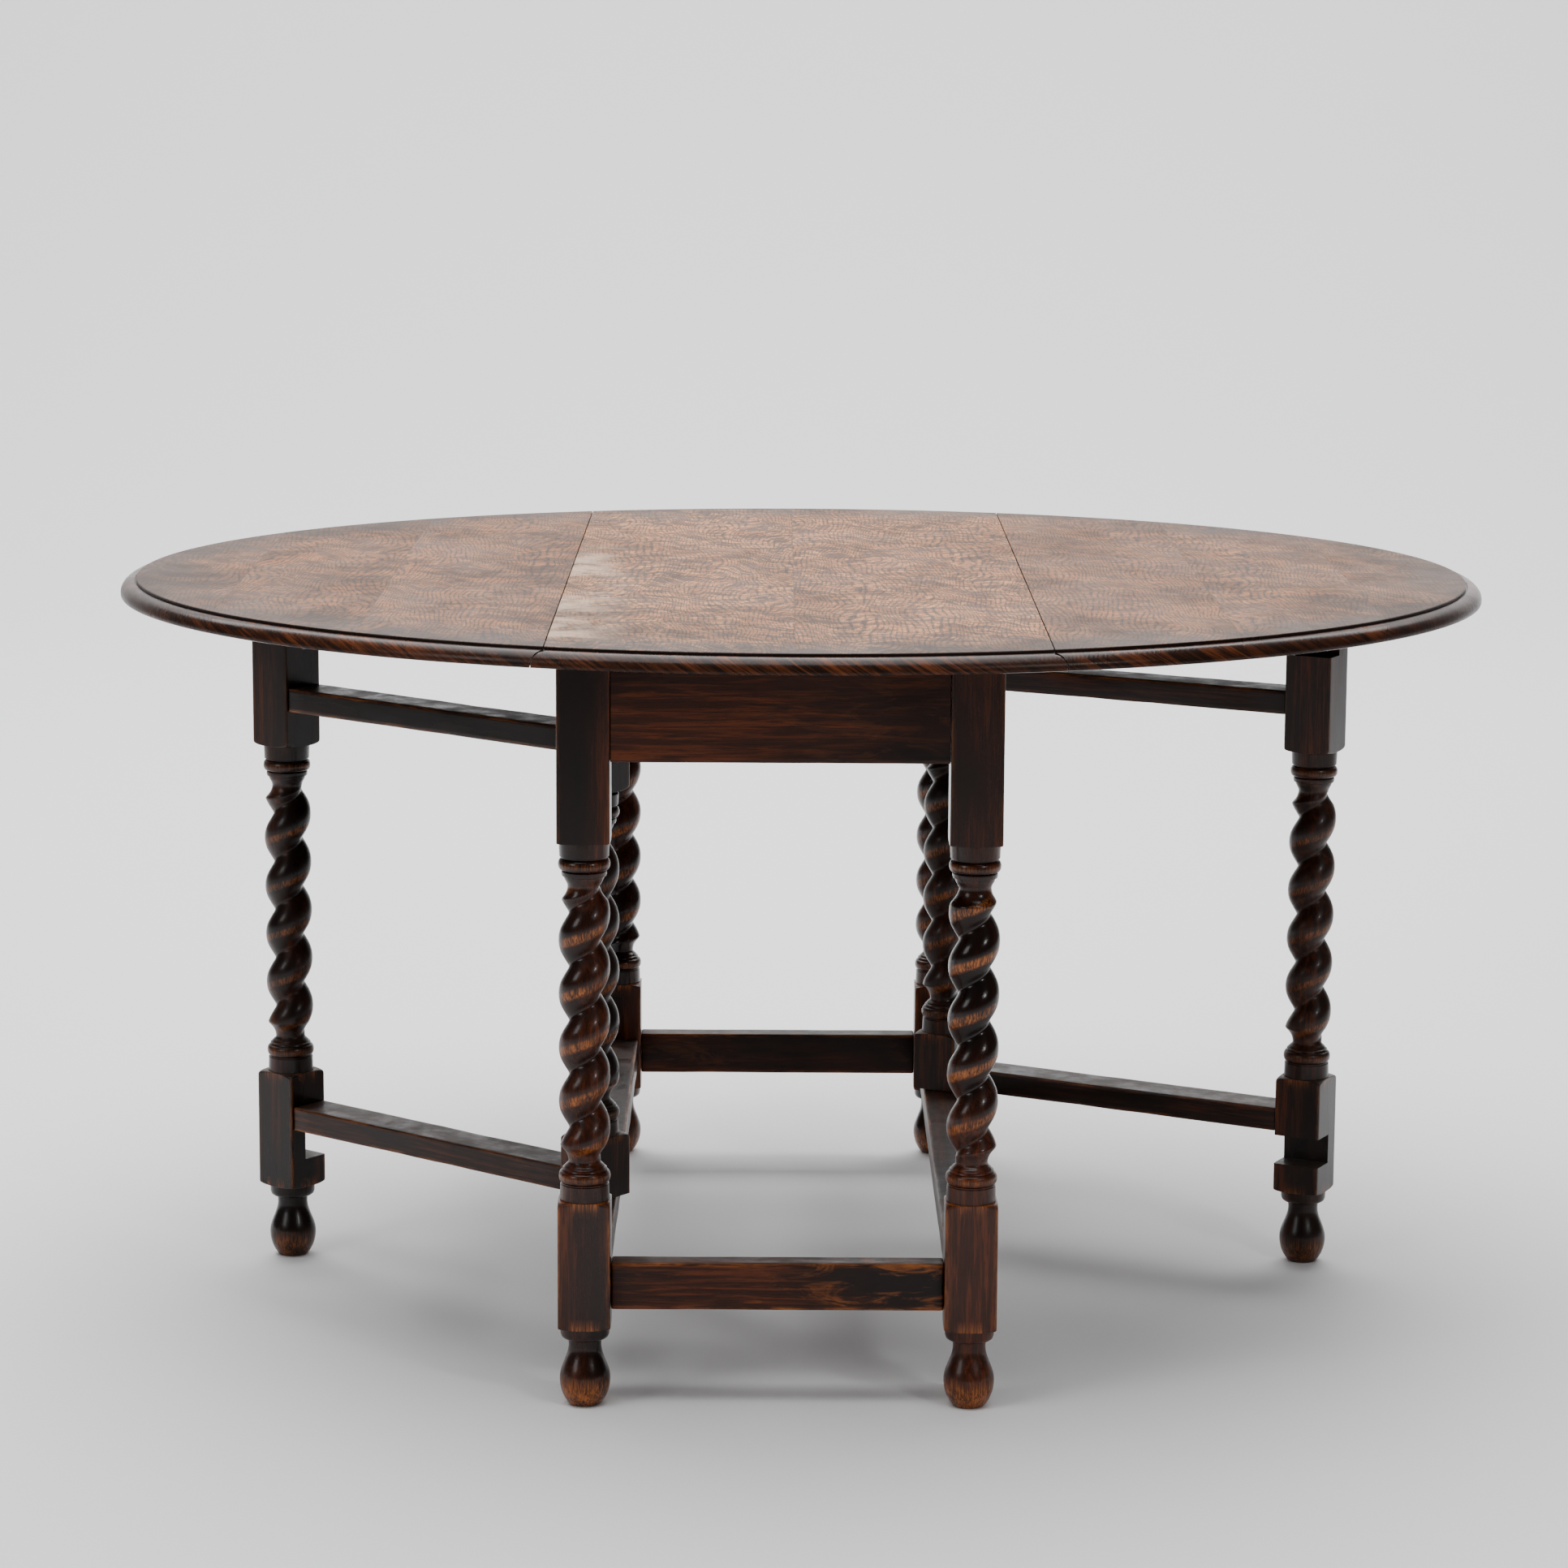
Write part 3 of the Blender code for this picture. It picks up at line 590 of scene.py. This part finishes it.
def buildTop():
    low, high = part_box("top_centre")
    finish = topFinish()
    panels = (
        ("top_centre", "topPanel", "frame", 0),
        ("leaf_left", "leafLeft", "leaf_left", -1),
        ("leaf_right", "leafRight", "leaf_right", 1),
    )
    for node, name, body, side in panels:
        piece = ovalSlab(low.z, high.z)
        piece.name = name
        if side:
            outline = jointOutline(side, topShape["jointGap"], low.z, high.z)
            far = side * topShape["panelReach"]
            outline += [(far, outline[-1][1]), (far, outline[0][1])]
        else:
            outline = jointOutline(1, 0.0, low.z, high.z)
            outline += jointOutline(-1, 0.0, low.z, high.z)[::-1]
        reach = topShape["panelReach"]
        combine(piece, [prism("panelShape", outline, -reach, reach)], "INTERSECT")
        # marks the dark moulded edge, with painted shade in its riser and groove
        storeWearAndRiserShade(piece, edgeFinishAndRiserShade)
        finishPiece(piece, body, finish, [node])


buildTop()
print("top built")


# turned legs and posts

turnedWork = {
    "steps": 96,
    "flatRadius": 0.0145,
    "ballRadius": 0.0243,
    "ballZ": 0.0255,
    "ballHalf": 0.0318,
    "neckRadius": 0.0156,
    "neckZ": 0.0590,
    "footCollar": ((0.0650, 0.0160), (0.0658, 0.0205), (0.0672, 0.0224), (0.0700, 0.0234), (0.0770, 0.0237)),
    "blockLow": 0.0776,
    "blockLowDrop": 0.0062,
    "blockHigh": 0.2022,
    "blockHighDrop": 0.0085,
    "blockHalf": 0.0250,
    "blockOuter": 0.0385,
    "lowerWork": ((0.2030, 0.0236), (0.2168, 0.0232), (0.2174, 0.0221), (0.2184, 0.0221)),
    "lowerBead": (0.2186, 0.2302),
    "lowerRing": ((0.2305, 0.0218), (0.2312, 0.0213), (0.2326, 0.0211), (0.2333, 0.0195)),
    "lowerNeck": (0.2390, 0.0153),
    "lowerLip": (0.2555, 0.0262),
    "beadRadius": 0.0246,
    "beadDepth": 0.0040,
    "twistInner": 0.0145,
    "twistOuter": 0.0251,
    "twistPitch": 0.0517,
    # above the twist, measured down from the upper block
    "upperLip": (0.0577, 0.0262),
    "upperNeck": (0.0425, 0.0157),
    "upperRing": ((0.0335, 0.0190), (0.0328, 0.0208), (0.0310, 0.0214), (0.0285, 0.0214), (0.0275, 0.0200)),
    "upperBead": (0.0270, 0.0158),
    "upperWork": ((0.0152, 0.0221), (0.0143, 0.0221), (0.0138, 0.0234), (0.0032, 0.0238)),
    "upperDrop": 0.0030,
    "gateDrop": 0.0080,
    "pinRadius": 0.009,
    "pinLength": 0.018,
    "pinEase": 0.0002,
    "blockRadius": 0.0237,  # where the lathe's shoulder meets the turning
    "upperBlockRadius": 0.0239,
    "flare": radians(60),
    "ringTop": (0.2333, 0.0195),
    "blockStep": 0.006,
    "twistStep": 0.0014,
    "cornerSharpness": 34,  # higher leaves the blocks' corners sharper
    "twistSharpness": 14,
    "grooveSoftness": 0.13,
}


def easeRun(start, end, steps):
    # an S-shaped run from one radius to the next
    (z0, r0), (z1, r1) = start, end
    shares = [i / steps for i in range(1, steps + 1)]
    return [(z0 + (z1 - z0) * t, r0 + (r1 - r0) * (1 - cos(pi * t)) / 2) for t in shares]


def coveRun(neck, lip, steps):
    # a hollow that starts flat at the neck and flares out to the lip
    (z0, r0), (z1, r1) = neck, lip
    flare = turnedWork["flare"]
    angles = [flare * i / steps for i in range(1, steps + 1)]
    top = 1 - cos(flare)
    return [(z0 + (z1 - z0) * sin(a) / sin(flare), r0 + (r1 - r0) * (1 - cos(a)) / top) for a in angles]


def beadRun(low, high, steps):
    middle, half = (low + high) / 2, (high - low) / 2
    base = turnedWork["beadRadius"] - turnedWork["beadDepth"]
    angles = [pi * i / steps for i in range(steps + 1)]
    return [(middle - half * cos(a), base + turnedWork["beadDepth"] * sin(a) ** 0.8) for a in angles]


def shoulderRun(flat, corner, inner, steps=16):
    # the lathe's rounded shoulder, from the block's end out past its corners
    outer = turnedWork["blockOuter"]
    angles = [pi / 2 * i / steps for i in range(steps + 1)]
    return [(corner + (flat - corner) * cos(a), inner + (outer - inner) * sin(a)) for a in angles]


def straightRun(low, high, radius, step):
    count = max(1, round((high - low) / step))
    return [(low + (high - low) * i / count, radius) for i in range(1, count)]


def turnedProfile(upperBlock, top, upperDrop, lowEnd=None):
    # (height, radius) from the bottom up. A post starts at lowEnd, on a round pin
    work = turnedWork
    outer = work["blockOuter"]
    if lowEnd is None:
        ballZ, half = work["ballZ"], work["ballHalf"]
        start = -asin(ballZ / half)
        ball = roundRun((0.0, ballZ), (work["ballRadius"], half), start, 0.0, 12)
        points = [(0.0, 0.0), (0.0, work["flatRadius"] * 0.5)]
        points += [(z, r) for r, z in ball]
        points += easeRun((ballZ, work["ballRadius"]), (work["neckZ"], work["neckRadius"]), 14)
        points += work["footCollar"]
        blockLow, drop = work["blockLow"], work["blockLowDrop"]
        points += shoulderRun(blockLow, blockLow + drop, work["blockRadius"])
        blockBase = blockLow + drop
    else:
        pin = work["pinRadius"]
        points = [(lowEnd - work["pinLength"], 0.0), (lowEnd - work["pinLength"], pin * 0.5)]
        points += [(lowEnd - work["pinLength"], pin), (lowEnd - work["pinEase"], pin)]
        points += [(lowEnd, pin + 0.001), (lowEnd, outer)]
        blockBase = lowEnd
    blockTop = work["blockHigh"]
    points += straightRun(blockBase, blockTop - work["blockHighDrop"], outer, work["blockStep"])
    points += shoulderRun(blockTop, blockTop - work["blockHighDrop"], work["blockRadius"])[::-1]
    points += work["lowerWork"]
    points += beadRun(*work["lowerBead"], 12)
    points += work["lowerRing"]
    points += easeRun(work["ringTop"], work["lowerNeck"], 6)
    points += coveRun(work["lowerNeck"], work["lowerLip"], 12)
    upperLip = upperBlock - work["upperLip"][0]
    points += straightRun(work["lowerLip"][0], upperLip, work["upperLip"][1], work["twistStep"])
    neck = (upperBlock - work["upperNeck"][0], work["upperNeck"][1])
    flare = coveRun(neck, (upperLip, work["upperLip"][1]), 12)[::-1]
    points += flare + [neck]
    ring = [(upperBlock - drop, radius) for drop, radius in work["upperRing"]]
    points += easeRun(neck, ring[0], 6)
    points += ring[1:]
    points += beadRun(upperBlock - work["upperBead"][0], upperBlock - work["upperBead"][1], 12)
    points += [(upperBlock - drop, radius) for drop, radius in work["upperWork"]]
    points += shoulderRun(upperBlock, upperBlock + upperDrop, work["upperBlockRadius"])
    points += straightRun(upperBlock + upperDrop, top, outer, work["blockStep"])
    points += [(top, outer)]
    if lowEnd is not None:
        pin = work["pinRadius"]
        points += [(top, pin + 0.001), (top + work["pinEase"], pin), (top + work["pinLength"], pin)]
        points += [(top + work["pinLength"], pin * 0.5), (top + work["pinLength"], 0.0)]
    else:
        points += [(top, outer * 0.5), (top, 0.0)]
    return points


def squareReach(angle):
    # how far the square block reaches in this direction, with its corners rubbed round
    sharpness = turnedWork["cornerSharpness"]
    reach = (abs(cos(angle)) ** sharpness + abs(sin(angle)) ** sharpness) ** (1 / sharpness)
    return turnedWork["blockHalf"] / reach


def softLeast(first, second, sharpness):
    # the smaller of the two, with the change between them rounded
    ratio = (first / second) ** sharpness
    return first / (1 + ratio) ** (1 / sharpness)


def twistReach(angle, z, crestZ):
    # one round ridge winding up to the right, with a narrow groove
    work = turnedWork
    phase = angle - tau * (z - crestZ) / work["twistPitch"]
    soft = work["grooveSoftness"]
    swell = (sqrt(cos(phase / 2) ** 2 + soft ** 2) - soft) / (sqrt(1 + soft ** 2) - soft)
    return work["twistInner"] + (work["twistOuter"] - work["twistInner"]) * swell


def towardsCorners(angle):
    # more points near the block's corners, fewer on its faces
    quarter = angle / (pi / 2)
    whole = quarter // 1
    across = 2 * (quarter - whole) - 1
    across = 0.40 * across + 0.60 * across ** 3
    return (whole + (across + 1) / 2) * pi / 2


def turnedPiece(name, upperBlock, top, upperDrop, crestZ, turn, lowEnd=None):
    work = turnedWork
    profile = turnedProfile(upperBlock, top, upperDrop, lowEnd)
    bm = bmesh.new()
    line = [bm.verts.new((radius, 0.0, z)) for z, radius in profile]
    for below, above in zip(line, line[1:]):
        bm.edges.new((below, above))
    geometry = bm.verts[:] + bm.edges[:]
    bmesh.ops.spin(
        bm, geom=geometry, axis=(0, 0, 1), cent=(0, 0, 0), steps=work["steps"], angle=tau, use_merge=True
    )
    bmesh.ops.remove_doubles(bm, verts=bm.verts, dist=1e-6)
    blocks = ((work["blockLow"] if lowEnd is None else lowEnd, work["blockHigh"]), (upperBlock, top))
    twist = (work["lowerNeck"][0], upperBlock - work["upperNeck"][0])
    outer = work["blockOuter"]
    for vertex in bm.verts:
        x, y, z = vertex.co
        radius = hypot(x, y)
        if radius < 1e-6:
            continue
        angle = atan2(y, x)
        for low, high in blocks:
            if low - 1e-6 <= z <= high + 1e-6:
                inside = min(z - low, high - z) / 0.0015
                angle += (towardsCorners(angle) - angle) * min(1.0, max(0.0, inside))
                onEnd = (z < low + 1e-6 and lowEnd is not None) or z > top - 1e-6
                if onEnd:
                    angle = towardsCorners(atan2(y, x))
                    if radius > work["pinRadius"] + 0.0015:
                        radius *= squareReach(angle) / outer
                else:
                    radius = softLeast(radius, squareReach(angle), work["cornerSharpness"])
        if twist[0] < z < twist[1]:
            reach = twistReach(angle + turn, z, crestZ)
            radius = softLeast(radius, reach, work["twistSharpness"])
        vertex.co = (radius * cos(angle), radius * sin(angle), z)
    bmesh.ops.recalc_face_normals(bm, faces=bm.faces)
    return makeObject(name, bm)


def turnedWear(upperBlock, crestZ, turn, rub):
    work = turnedWork

    def rule(point):
        x, y, z = point
        radius, angle = hypot(x, y), atan2(y, x)
        low, high = work["lowerNeck"][0], upperBlock - work["upperNeck"][0]
        if low < z < high:
            phase = angle + turn - tau * (z - crestZ) / work["twistPitch"] - rub["twistShift"]
            phase = abs((phase + pi) % tau - pi)
            onRidge = 1 - smoothStep(rub["twistWidth"] * 0.35, rub["twistWidth"], phase)
            ends = smoothStep(low, low + 0.02, z) * smoothStep(high, high - 0.02, z)
            return rub["twist"] * onRidge * (0.35 + 0.65 * ends)
        if z < 0.0645:
            return (1 - smoothStep(0.016, 0.034, z)) * rub["ball"]
        if work["blockLow"] < z < work["blockHigh"] or z > upperBlock:
            half = work["blockHalf"]
            fromCorner = half * 2 - abs(x) - abs(y)
            amount = exp(-max(0.0, fromCorner) / 0.0016)
            strength = rub["lowerBlock"] if z < upperBlock else rub["upperBlock"]
            arris = max(0.0, 1 - abs(radius - half * 1.06) / 0.0030)
            nearEnd = max(0.0, 1 - min(abs(z - work["blockLow"]), abs(z - work["blockHigh"])) / 0.010)
            return min(1.0, strength * max(amount, arris * nearEnd * 0.9))
        return smoothStep(0.0236, 0.0246, radius) * rub["bead"]

    return rule


frontRub = {
    "twist": 0.85, "twistShift": 0.75, "twistWidth": 0.75, "ball": 0.9,
    "lowerBlock": 1.0, "upperBlock": 0.35, "bead": 0.30,
}
sideRub = dict(frontRub, twist=0.45, twistWidth=0.60, ball=0.45, lowerBlock=0.75, upperBlock=0.3)
backRub = dict(frontRub, twist=0.60, ball=0.6)

legPlan = {
    "leg_front_left": ("legFrontLeft", 0.3748, frontRub),
    "leg_front_right": ("legFrontRight", 0.4032, frontRub),
    "leg_back_left": ("legBackLeft", 0.4010, backRub),
    "leg_back_right": ("legBackRight", 0.4010, backRub),
}
gateShape = {
    "notchLow": 0.1085,
    "notchHigh": 0.1395,
    "notchFloor": 0.0048,
    "rebateLow": 0.6545,
    "rebateFloor": -0.0004,
    "far": 0.03,  # the cutters reach this far past the leg
    "past": 0.001,
}
crestHeights = {"left": (0.3745, 0.3688), "right": (0.3780, 0.3780)}
cornerBlock = 0.5470  # bottom of the corner legs' upper blocks
gateBlock = 0.5520


def slabBox(name, low, high):
    bm = bmesh.new()
    low, high = Vector(low), Vector(high)
    bmesh.ops.create_cube(bm, size=1.0)
    bmesh.ops.scale(bm, vec=high - low, verts=bm.verts)
    bmesh.ops.translate(bm, vec=(low + high) / 2, verts=bm.verts)
    return makeObject(name, bm)


def buildLegs():
    finish = oakFinish("oakLegs", legLook, grainTurns["z"])
    for node, (name, crestZ, rub) in legPlan.items():
        low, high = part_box(node)
        middle = (low + high) / 2
        piece = turnedPiece(name, cornerBlock, high.z, turnedWork["upperDrop"], crestZ, 0.0)
        storeWearAndRiserShade(piece, turnedWear(cornerBlock, crestZ, 0.0, rub))
        piece.data.transform(Matrix.Translation((middle.x, middle.y, 0)))
        finishPiece(piece, "frame", finish, [node], sharp=50)


def gateTurn(side):
    post, leg = middleOf(f"gate_post_{side}"), middleOf(f"gate_leg_{side}")
    return atan2(leg.y - post.y, leg.x - post.x)


def buildGatePosts():
    finish = oakFinish("oakGatePosts", gateLook, grainTurns["z"])
    for side in ("left", "right"):
        turn = gateTurn(side)
        legCrest, postCrest = crestHeights[side]
        node = f"gate_leg_{side}"
        middle = middleOf(node)
        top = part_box(node)[1].z
        piece = turnedPiece(f"gateLeg_{side}", gateBlock, top, turnedWork["gateDrop"], legCrest, turn)
        far = gateShape["far"]
        notchLow = (-far, -far, gateShape["notchLow"])
        notch = slabBox("notch", notchLow, (far, gateShape["notchFloor"], gateShape["notchHigh"]))
        rebateLow = (-far, -far, gateShape["rebateLow"])
        rebate = slabBox("rebate", rebateLow, (far, gateShape["rebateFloor"], top + gateShape["past"]))
        combine(piece, [notch, rebate])
        storeWearAndRiserShade(piece, turnedWear(gateBlock, legCrest, turn, sideRub))
        piece.data.transform(Matrix.Translation((middle.x, middle.y, 0)) @ Matrix.Rotation(turn, 4, "Z"))
        finishPiece(piece, f"gate_{side}", finish, [node], sharp=50)

        node = f"gate_post_{side}"
        low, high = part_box(node)
        middle = (low + high) / 2
        pin = turnedWork["pinLength"]
        piece = turnedPiece(
            f"gatePost_{side}", gateBlock, high.z - pin, turnedWork["gateDrop"], postCrest, turn, low.z + pin
        )
        storeWearAndRiserShade(piece, turnedWear(gateBlock, postCrest, turn, backRub))
        piece.data.transform(Matrix.Translation((middle.x, middle.y, 0)) @ Matrix.Rotation(turn, 4, "Z"))
        finishPiece(piece, f"gate_{side}", finish, [node], sharp=50)


buildLegs()
buildGatePosts()
print("turned legs and posts built")


# rails, stretchers and blocks

boardShape = {
    "roundSteps": 3,
    "step": 0.025,
    "wobble": 0.0006,
    "wobbleScale": (22, 9, 9),
    "rubReach": 0.0045,
    "rubScale": (14, 40, 40),
    "seedScale": (31, 57, 13),
}


def roughAt(point, scale, seed):
    return noise.noise(Vector([value * size for value, size in zip(point, scale)]) + seed)


def board(name, length, width, height, soft, rub):
    # a board along X, its long edges rubbed a little unevenly
    bm = bmesh.new()
    bmesh.ops.create_cube(bm, size=1.0)
    bmesh.ops.scale(bm, vec=(length, width, height), verts=bm.verts)
    bmesh.ops.bevel(
        bm, geom=bm.edges[:], offset=soft, segments=boardShape["roundSteps"],
        profile=0.5, affect="EDGES", material=-1,
    )
    reach = boardShape["rubReach"]
    cuts = []
    count = max(2, round(length / boardShape["step"]))
    cuts += [((length * (i / count - 0.5), 0, 0), (1, 0, 0)) for i in range(1, count)]
    for axis, size in ((1, width), (2, height)):
        if size > 3 * reach:
            for sign in (-1, 1):
                place, normal = [0, 0, 0], [0, 0, 0]
                place[axis] = sign * (size / 2 - reach)
                normal[axis] = 1
                cuts.append((tuple(place), tuple(normal)))
    for place, normal in cuts:
        geometry = bm.verts[:] + bm.edges[:] + bm.faces[:]
        bmesh.ops.bisect_plane(bm, geom=geometry, dist=1e-6, plane_co=place, plane_no=normal)
    piece = makeObject(name, bm)
    seed = Vector([size * scale for size, scale in zip((length, width, height), boardShape["seedScale"])])

    def rule(point):
        fromLong = [size / 2 - abs(value) for size, value in ((width, point.y), (height, point.z))]
        fromEdge = max(fromLong)
        amount = 1 - smoothStep(0.0, reach, fromEdge)
        uneven = roughAt(point, boardShape["rubScale"], seed)
        return min(1.0, max(0.0, rub * amount * (0.75 + 0.9 * uneven)))

    storeWearAndRiserShade(piece, rule)
    for vertex in piece.data.vertices:
        nearEdge = max(width / 2 - abs(vertex.co.y), height / 2 - abs(vertex.co.z)) < soft * 1.2
        if nearEdge:
            pull = max(0.0, roughAt(vertex.co, boardShape["wobbleScale"], seed)) * boardShape["wobble"]
            vertex.co.y -= pull * (1 if vertex.co.y > 0 else -1)
            vertex.co.z -= pull * (1 if vertex.co.z > 0 else -1)
    return piece


tenon = 0.016


def buildRails():
    acrossFinish = oakFinish("oakRailsAcross", railLook, grainTurns["x"])
    figuredFinish = oakFinish("oakFigured", figuredLook, grainTurns["x"])
    alongFinish = oakFinish("oakRailsAlong", railLook, grainTurns["y"])
    plan = (
        ("apron_front", "apronFront", 0, 0.10, 0.0010),
        ("apron_back", "apronBack", 0, 0.10, 0.0010),
        ("stretcher_front", "stretcherFront", 0, 1.0, 0.0022),
        ("stretcher_back", "stretcherBack", 0, 0.6, 0.0018),
        ("apron_left", "apronLeft", 1, 0.15, 0.0012),
        ("apron_right", "apronRight", 1, 0.15, 0.0012),
        ("stretcher_left", "stretcherLeft", 1, 0.8, 0.0020),
        ("stretcher_right", "stretcherRight", 1, 0.8, 0.0020),
    )
    for node, name, lengthAxis, rub, soft in plan:
        low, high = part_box(node)
        size = high - low
        middle = (low + high) / 2
        length = size[lengthAxis] - 2 * tenon
        piece = board(name, length, size[1 - lengthAxis], size.z, soft, rub)
        turn = Matrix.Rotation(pi / 2 * lengthAxis, 4, "Z")
        piece.data.transform(Matrix.Translation(middle) @ turn)
        finish = alongFinish if lengthAxis else acrossFinish
        if node == "stretcher_front":
            finish = figuredFinish
        finishPiece(piece, "frame", finish, [node])


gateRail = {"length": 0.3794, "width": 0.045, "round": 0.0018, "rub": 0.7}


def buildGateRails():
    for side in ("left", "right"):
        turn = gateTurn(side)
        finish = oakFinish(f"oakGateRails_{side}", gateLook, (0.0, 0.0, -turn))
        for level in ("upper", "lower"):
            node = f"gate_{level}_rail_{side}"
            low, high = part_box(node)
            piece = board(
                f"gateRail_{level}_{side}", gateRail["length"], gateRail["width"], high.z - low.z,
                gateRail["round"], gateRail["rub"],
            )
            piece.data.transform(Matrix.Translation((low + high) / 2) @ Matrix.Rotation(turn, 4, "Z"))
            finishPiece(piece, f"gate_{side}", finish, [node])


smallBlock = {
    "round": 0.0012,
    "rub": 0.4,
    "stopLength": 0.070,
    "stopWidth": 0.022,
    "stopRound": 0.0015,
}


def buildBlocks():
    finish = oakFinish("bareOak", bareLook, grainTurns["x"])
    for end in ("front", "back"):
        for side in ("left", "right"):
            node = f"top_block_{end}_{side}"
            low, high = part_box(node)
            size = high - low
            name = f"topBlock_{end}_{side}"
            piece = board(name, size.x, size.y, size.z, smallBlock["round"], smallBlock["rub"])
            piece.data.transform(Matrix.Translation((low + high) / 2))
            finishPiece(piece, "frame", finish, [node])
    for side in ("left", "right"):
        node = f"leaf_stop_{side}"
        low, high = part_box(node)
        turn = gateTurn(side)
        piece = board(
            f"leafStop_{side}", smallBlock["stopLength"], smallBlock["stopWidth"], high.z - low.z,
            smallBlock["stopRound"], smallBlock["rub"],
        )
        piece.data.transform(Matrix.Translation((low + high) / 2) @ Matrix.Rotation(turn, 4, "Z"))
        finishPiece(piece, f"leaf_{side}", finish, [node])


buildRails()
buildGateRails()
buildBlocks()
print("rails and blocks built")


# iron: the hinges and screws


def buildIron():
    finish = ironFinish()
    for node, piece in frame["nodes"].items():
        if node.startswith(("hinge_", "top_screw_")):
            piece.data.materials.clear()
            piece.data.materials.append(finish)


screwShape = {
    "radius": 0.0032,
    "rise": 0.0004,
    "soft": 0.0003,
    "slotWidth": 0.0008,
    "slotDepth": 0.0005,
    "sides": 28,
    "spread": 0.0115,
    "inset": 0.0080,
    "gap": 0.0001,
}


def screwHead(name, x, y, under, turn):
    # a countersunk head, its slotted face down
    shape = screwShape
    bm = bmesh.new()
    bmesh.ops.create_cone(
        bm, cap_ends=True, segments=shape["sides"], radius1=shape["radius"], radius2=shape["radius"],
        depth=shape["rise"] * 2,
    )
    low = [edge for edge in bm.edges if all(vertex.co.z < 0 for vertex in edge.verts)]
    bmesh.ops.bevel(
        bm, geom=low, offset=shape["soft"], segments=3, profile=0.5, affect="EDGES", material=-1
    )
    piece = makeObject(name, bm)
    reach = shape["radius"] * 2
    slot = slabBox(
        "slot", (-reach, -shape["slotWidth"] / 2, -reach),
        (reach, shape["slotWidth"] / 2, -shape["rise"] + shape["slotDepth"]),
    )
    combine(piece, [slot])
    spot = Matrix.Translation((x, y, under - shape["rise"] - shape["gap"])) @ Matrix.Rotation(turn, 4, "Z")
    piece.data.transform(spot)
    return piece


def buildScrews():
    finish = ironFinish()
    turns = (0.4, 1.9, 2.6)
    for side, way in (("left", -1), ("right", 1)):
        for end in ("front", "back"):
            for part, body, out in (("fixed", "frame", -way), ("leaf", f"leaf_{side}", way)):
                low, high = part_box(f"hinge_{side}_{end}_{part}_plate")
                edgeX = high.x if out > 0 else low.x
                middle = (low + high) / 2
                spots = (
                    (edgeX - out * screwShape["inset"], middle.y - screwShape["spread"]),
                    (edgeX - out * screwShape["inset"], middle.y + screwShape["spread"]),
                    (edgeX - out * screwShape["inset"] * 2.1, middle.y),
                )
                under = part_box("top_centre")[0].z
                for number, ((x, y), turn) in enumerate(zip(spots, turns)):
                    name = f"hingeScrew_{side}_{end}_{part}_{number + 1}"
                    piece = screwHead(name, x, y, under, turn + x)
                    finishPiece(piece, body, finish, [])


buildIron()
buildScrews()
print("iron dressed")


# floor, backdrop and light

studio = {
    "paper": (0.78, 0.78, 0.785),
    "wallY": 6.6,
    "bend": 1.6,
    "reach": 12.0,
    "height": 5.5,
    "bendSteps": 24,
    "world": 0.10,
}
lamps = {
    "over": ((-0.30, 0.20, 3.8), (-0.15, 0.20, 0), (4.2, 3.4), 290),
    "far floor": ((0.0, 4.1, 4.3), (0, 4.7, 0.0), (9.0, 2.6), 470),
    "key right": ((2.4, -3.2, 2.3), (0, 0, 0.4), (0.40, 0.55), 26),
    "soft left": ((-3.2, -2.8, 2.1), (0, 0, 0.4), (1.3, 1.6), 34),
}


def buildStage():
    bm = bmesh.new()
    outline = [(-studio["reach"], 0.0)]
    bend = studio["bend"]
    curve = roundRun((studio["wallY"] - bend, bend), (bend, bend), -pi / 2, 0.0, studio["bendSteps"])
    outline += curve + [(studio["wallY"], studio["height"])]
    line = [bm.verts.new((-studio["reach"], y, z)) for y, z in outline]
    edges = [bm.edges.new(pair) for pair in zip(line, line[1:])]
    made = bmesh.ops.extrude_edge_only(bm, edges=edges)["geom"]
    moved = [item for item in made if isinstance(item, bmesh.types.BMVert)]
    bmesh.ops.translate(bm, vec=(2 * studio["reach"], 0, 0), verts=moved)
    bmesh.ops.recalc_face_normals(bm, faces=bm.faces)
    floor = makeObject("studioPaper", bm)
    floor.data.shade_smooth()
    made, tree = startFinish("studioPaper")
    shader = tree.nodes["Principled BSDF"]
    shader.inputs["Base Color"].default_value = rgba(studio["paper"])
    shader.inputs["Roughness"].default_value = 0.85
    floor.data.materials.append(made)


def addLight(name, place, target, size, power, colour=(1, 1, 1)):
    data = bpy.data.lights.new(name, "AREA")
    data.shape = "RECTANGLE"
    data.size, data.size_y = size
    data.energy = power
    data.color = colour
    light = bpy.data.objects.new(name, data)
    light.location = place
    light.rotation_euler = (Vector(target) - Vector(place)).to_track_quat("-Z", "Y").to_euler()
    bpy.context.scene.collection.objects.link(light)


def buildLight():
    world = bpy.data.worlds.new("studio")
    bpy.context.scene.world = world
    world.use_nodes = True
    back = world.node_tree.nodes["Background"]
    back.inputs["Color"].default_value = (1, 1, 1, 1)
    back.inputs["Strength"].default_value = studio["world"]
    for name, (place, target, size, power) in lamps.items():
        addLight(name, place, target, size, power)


buildStage()
buildLight()
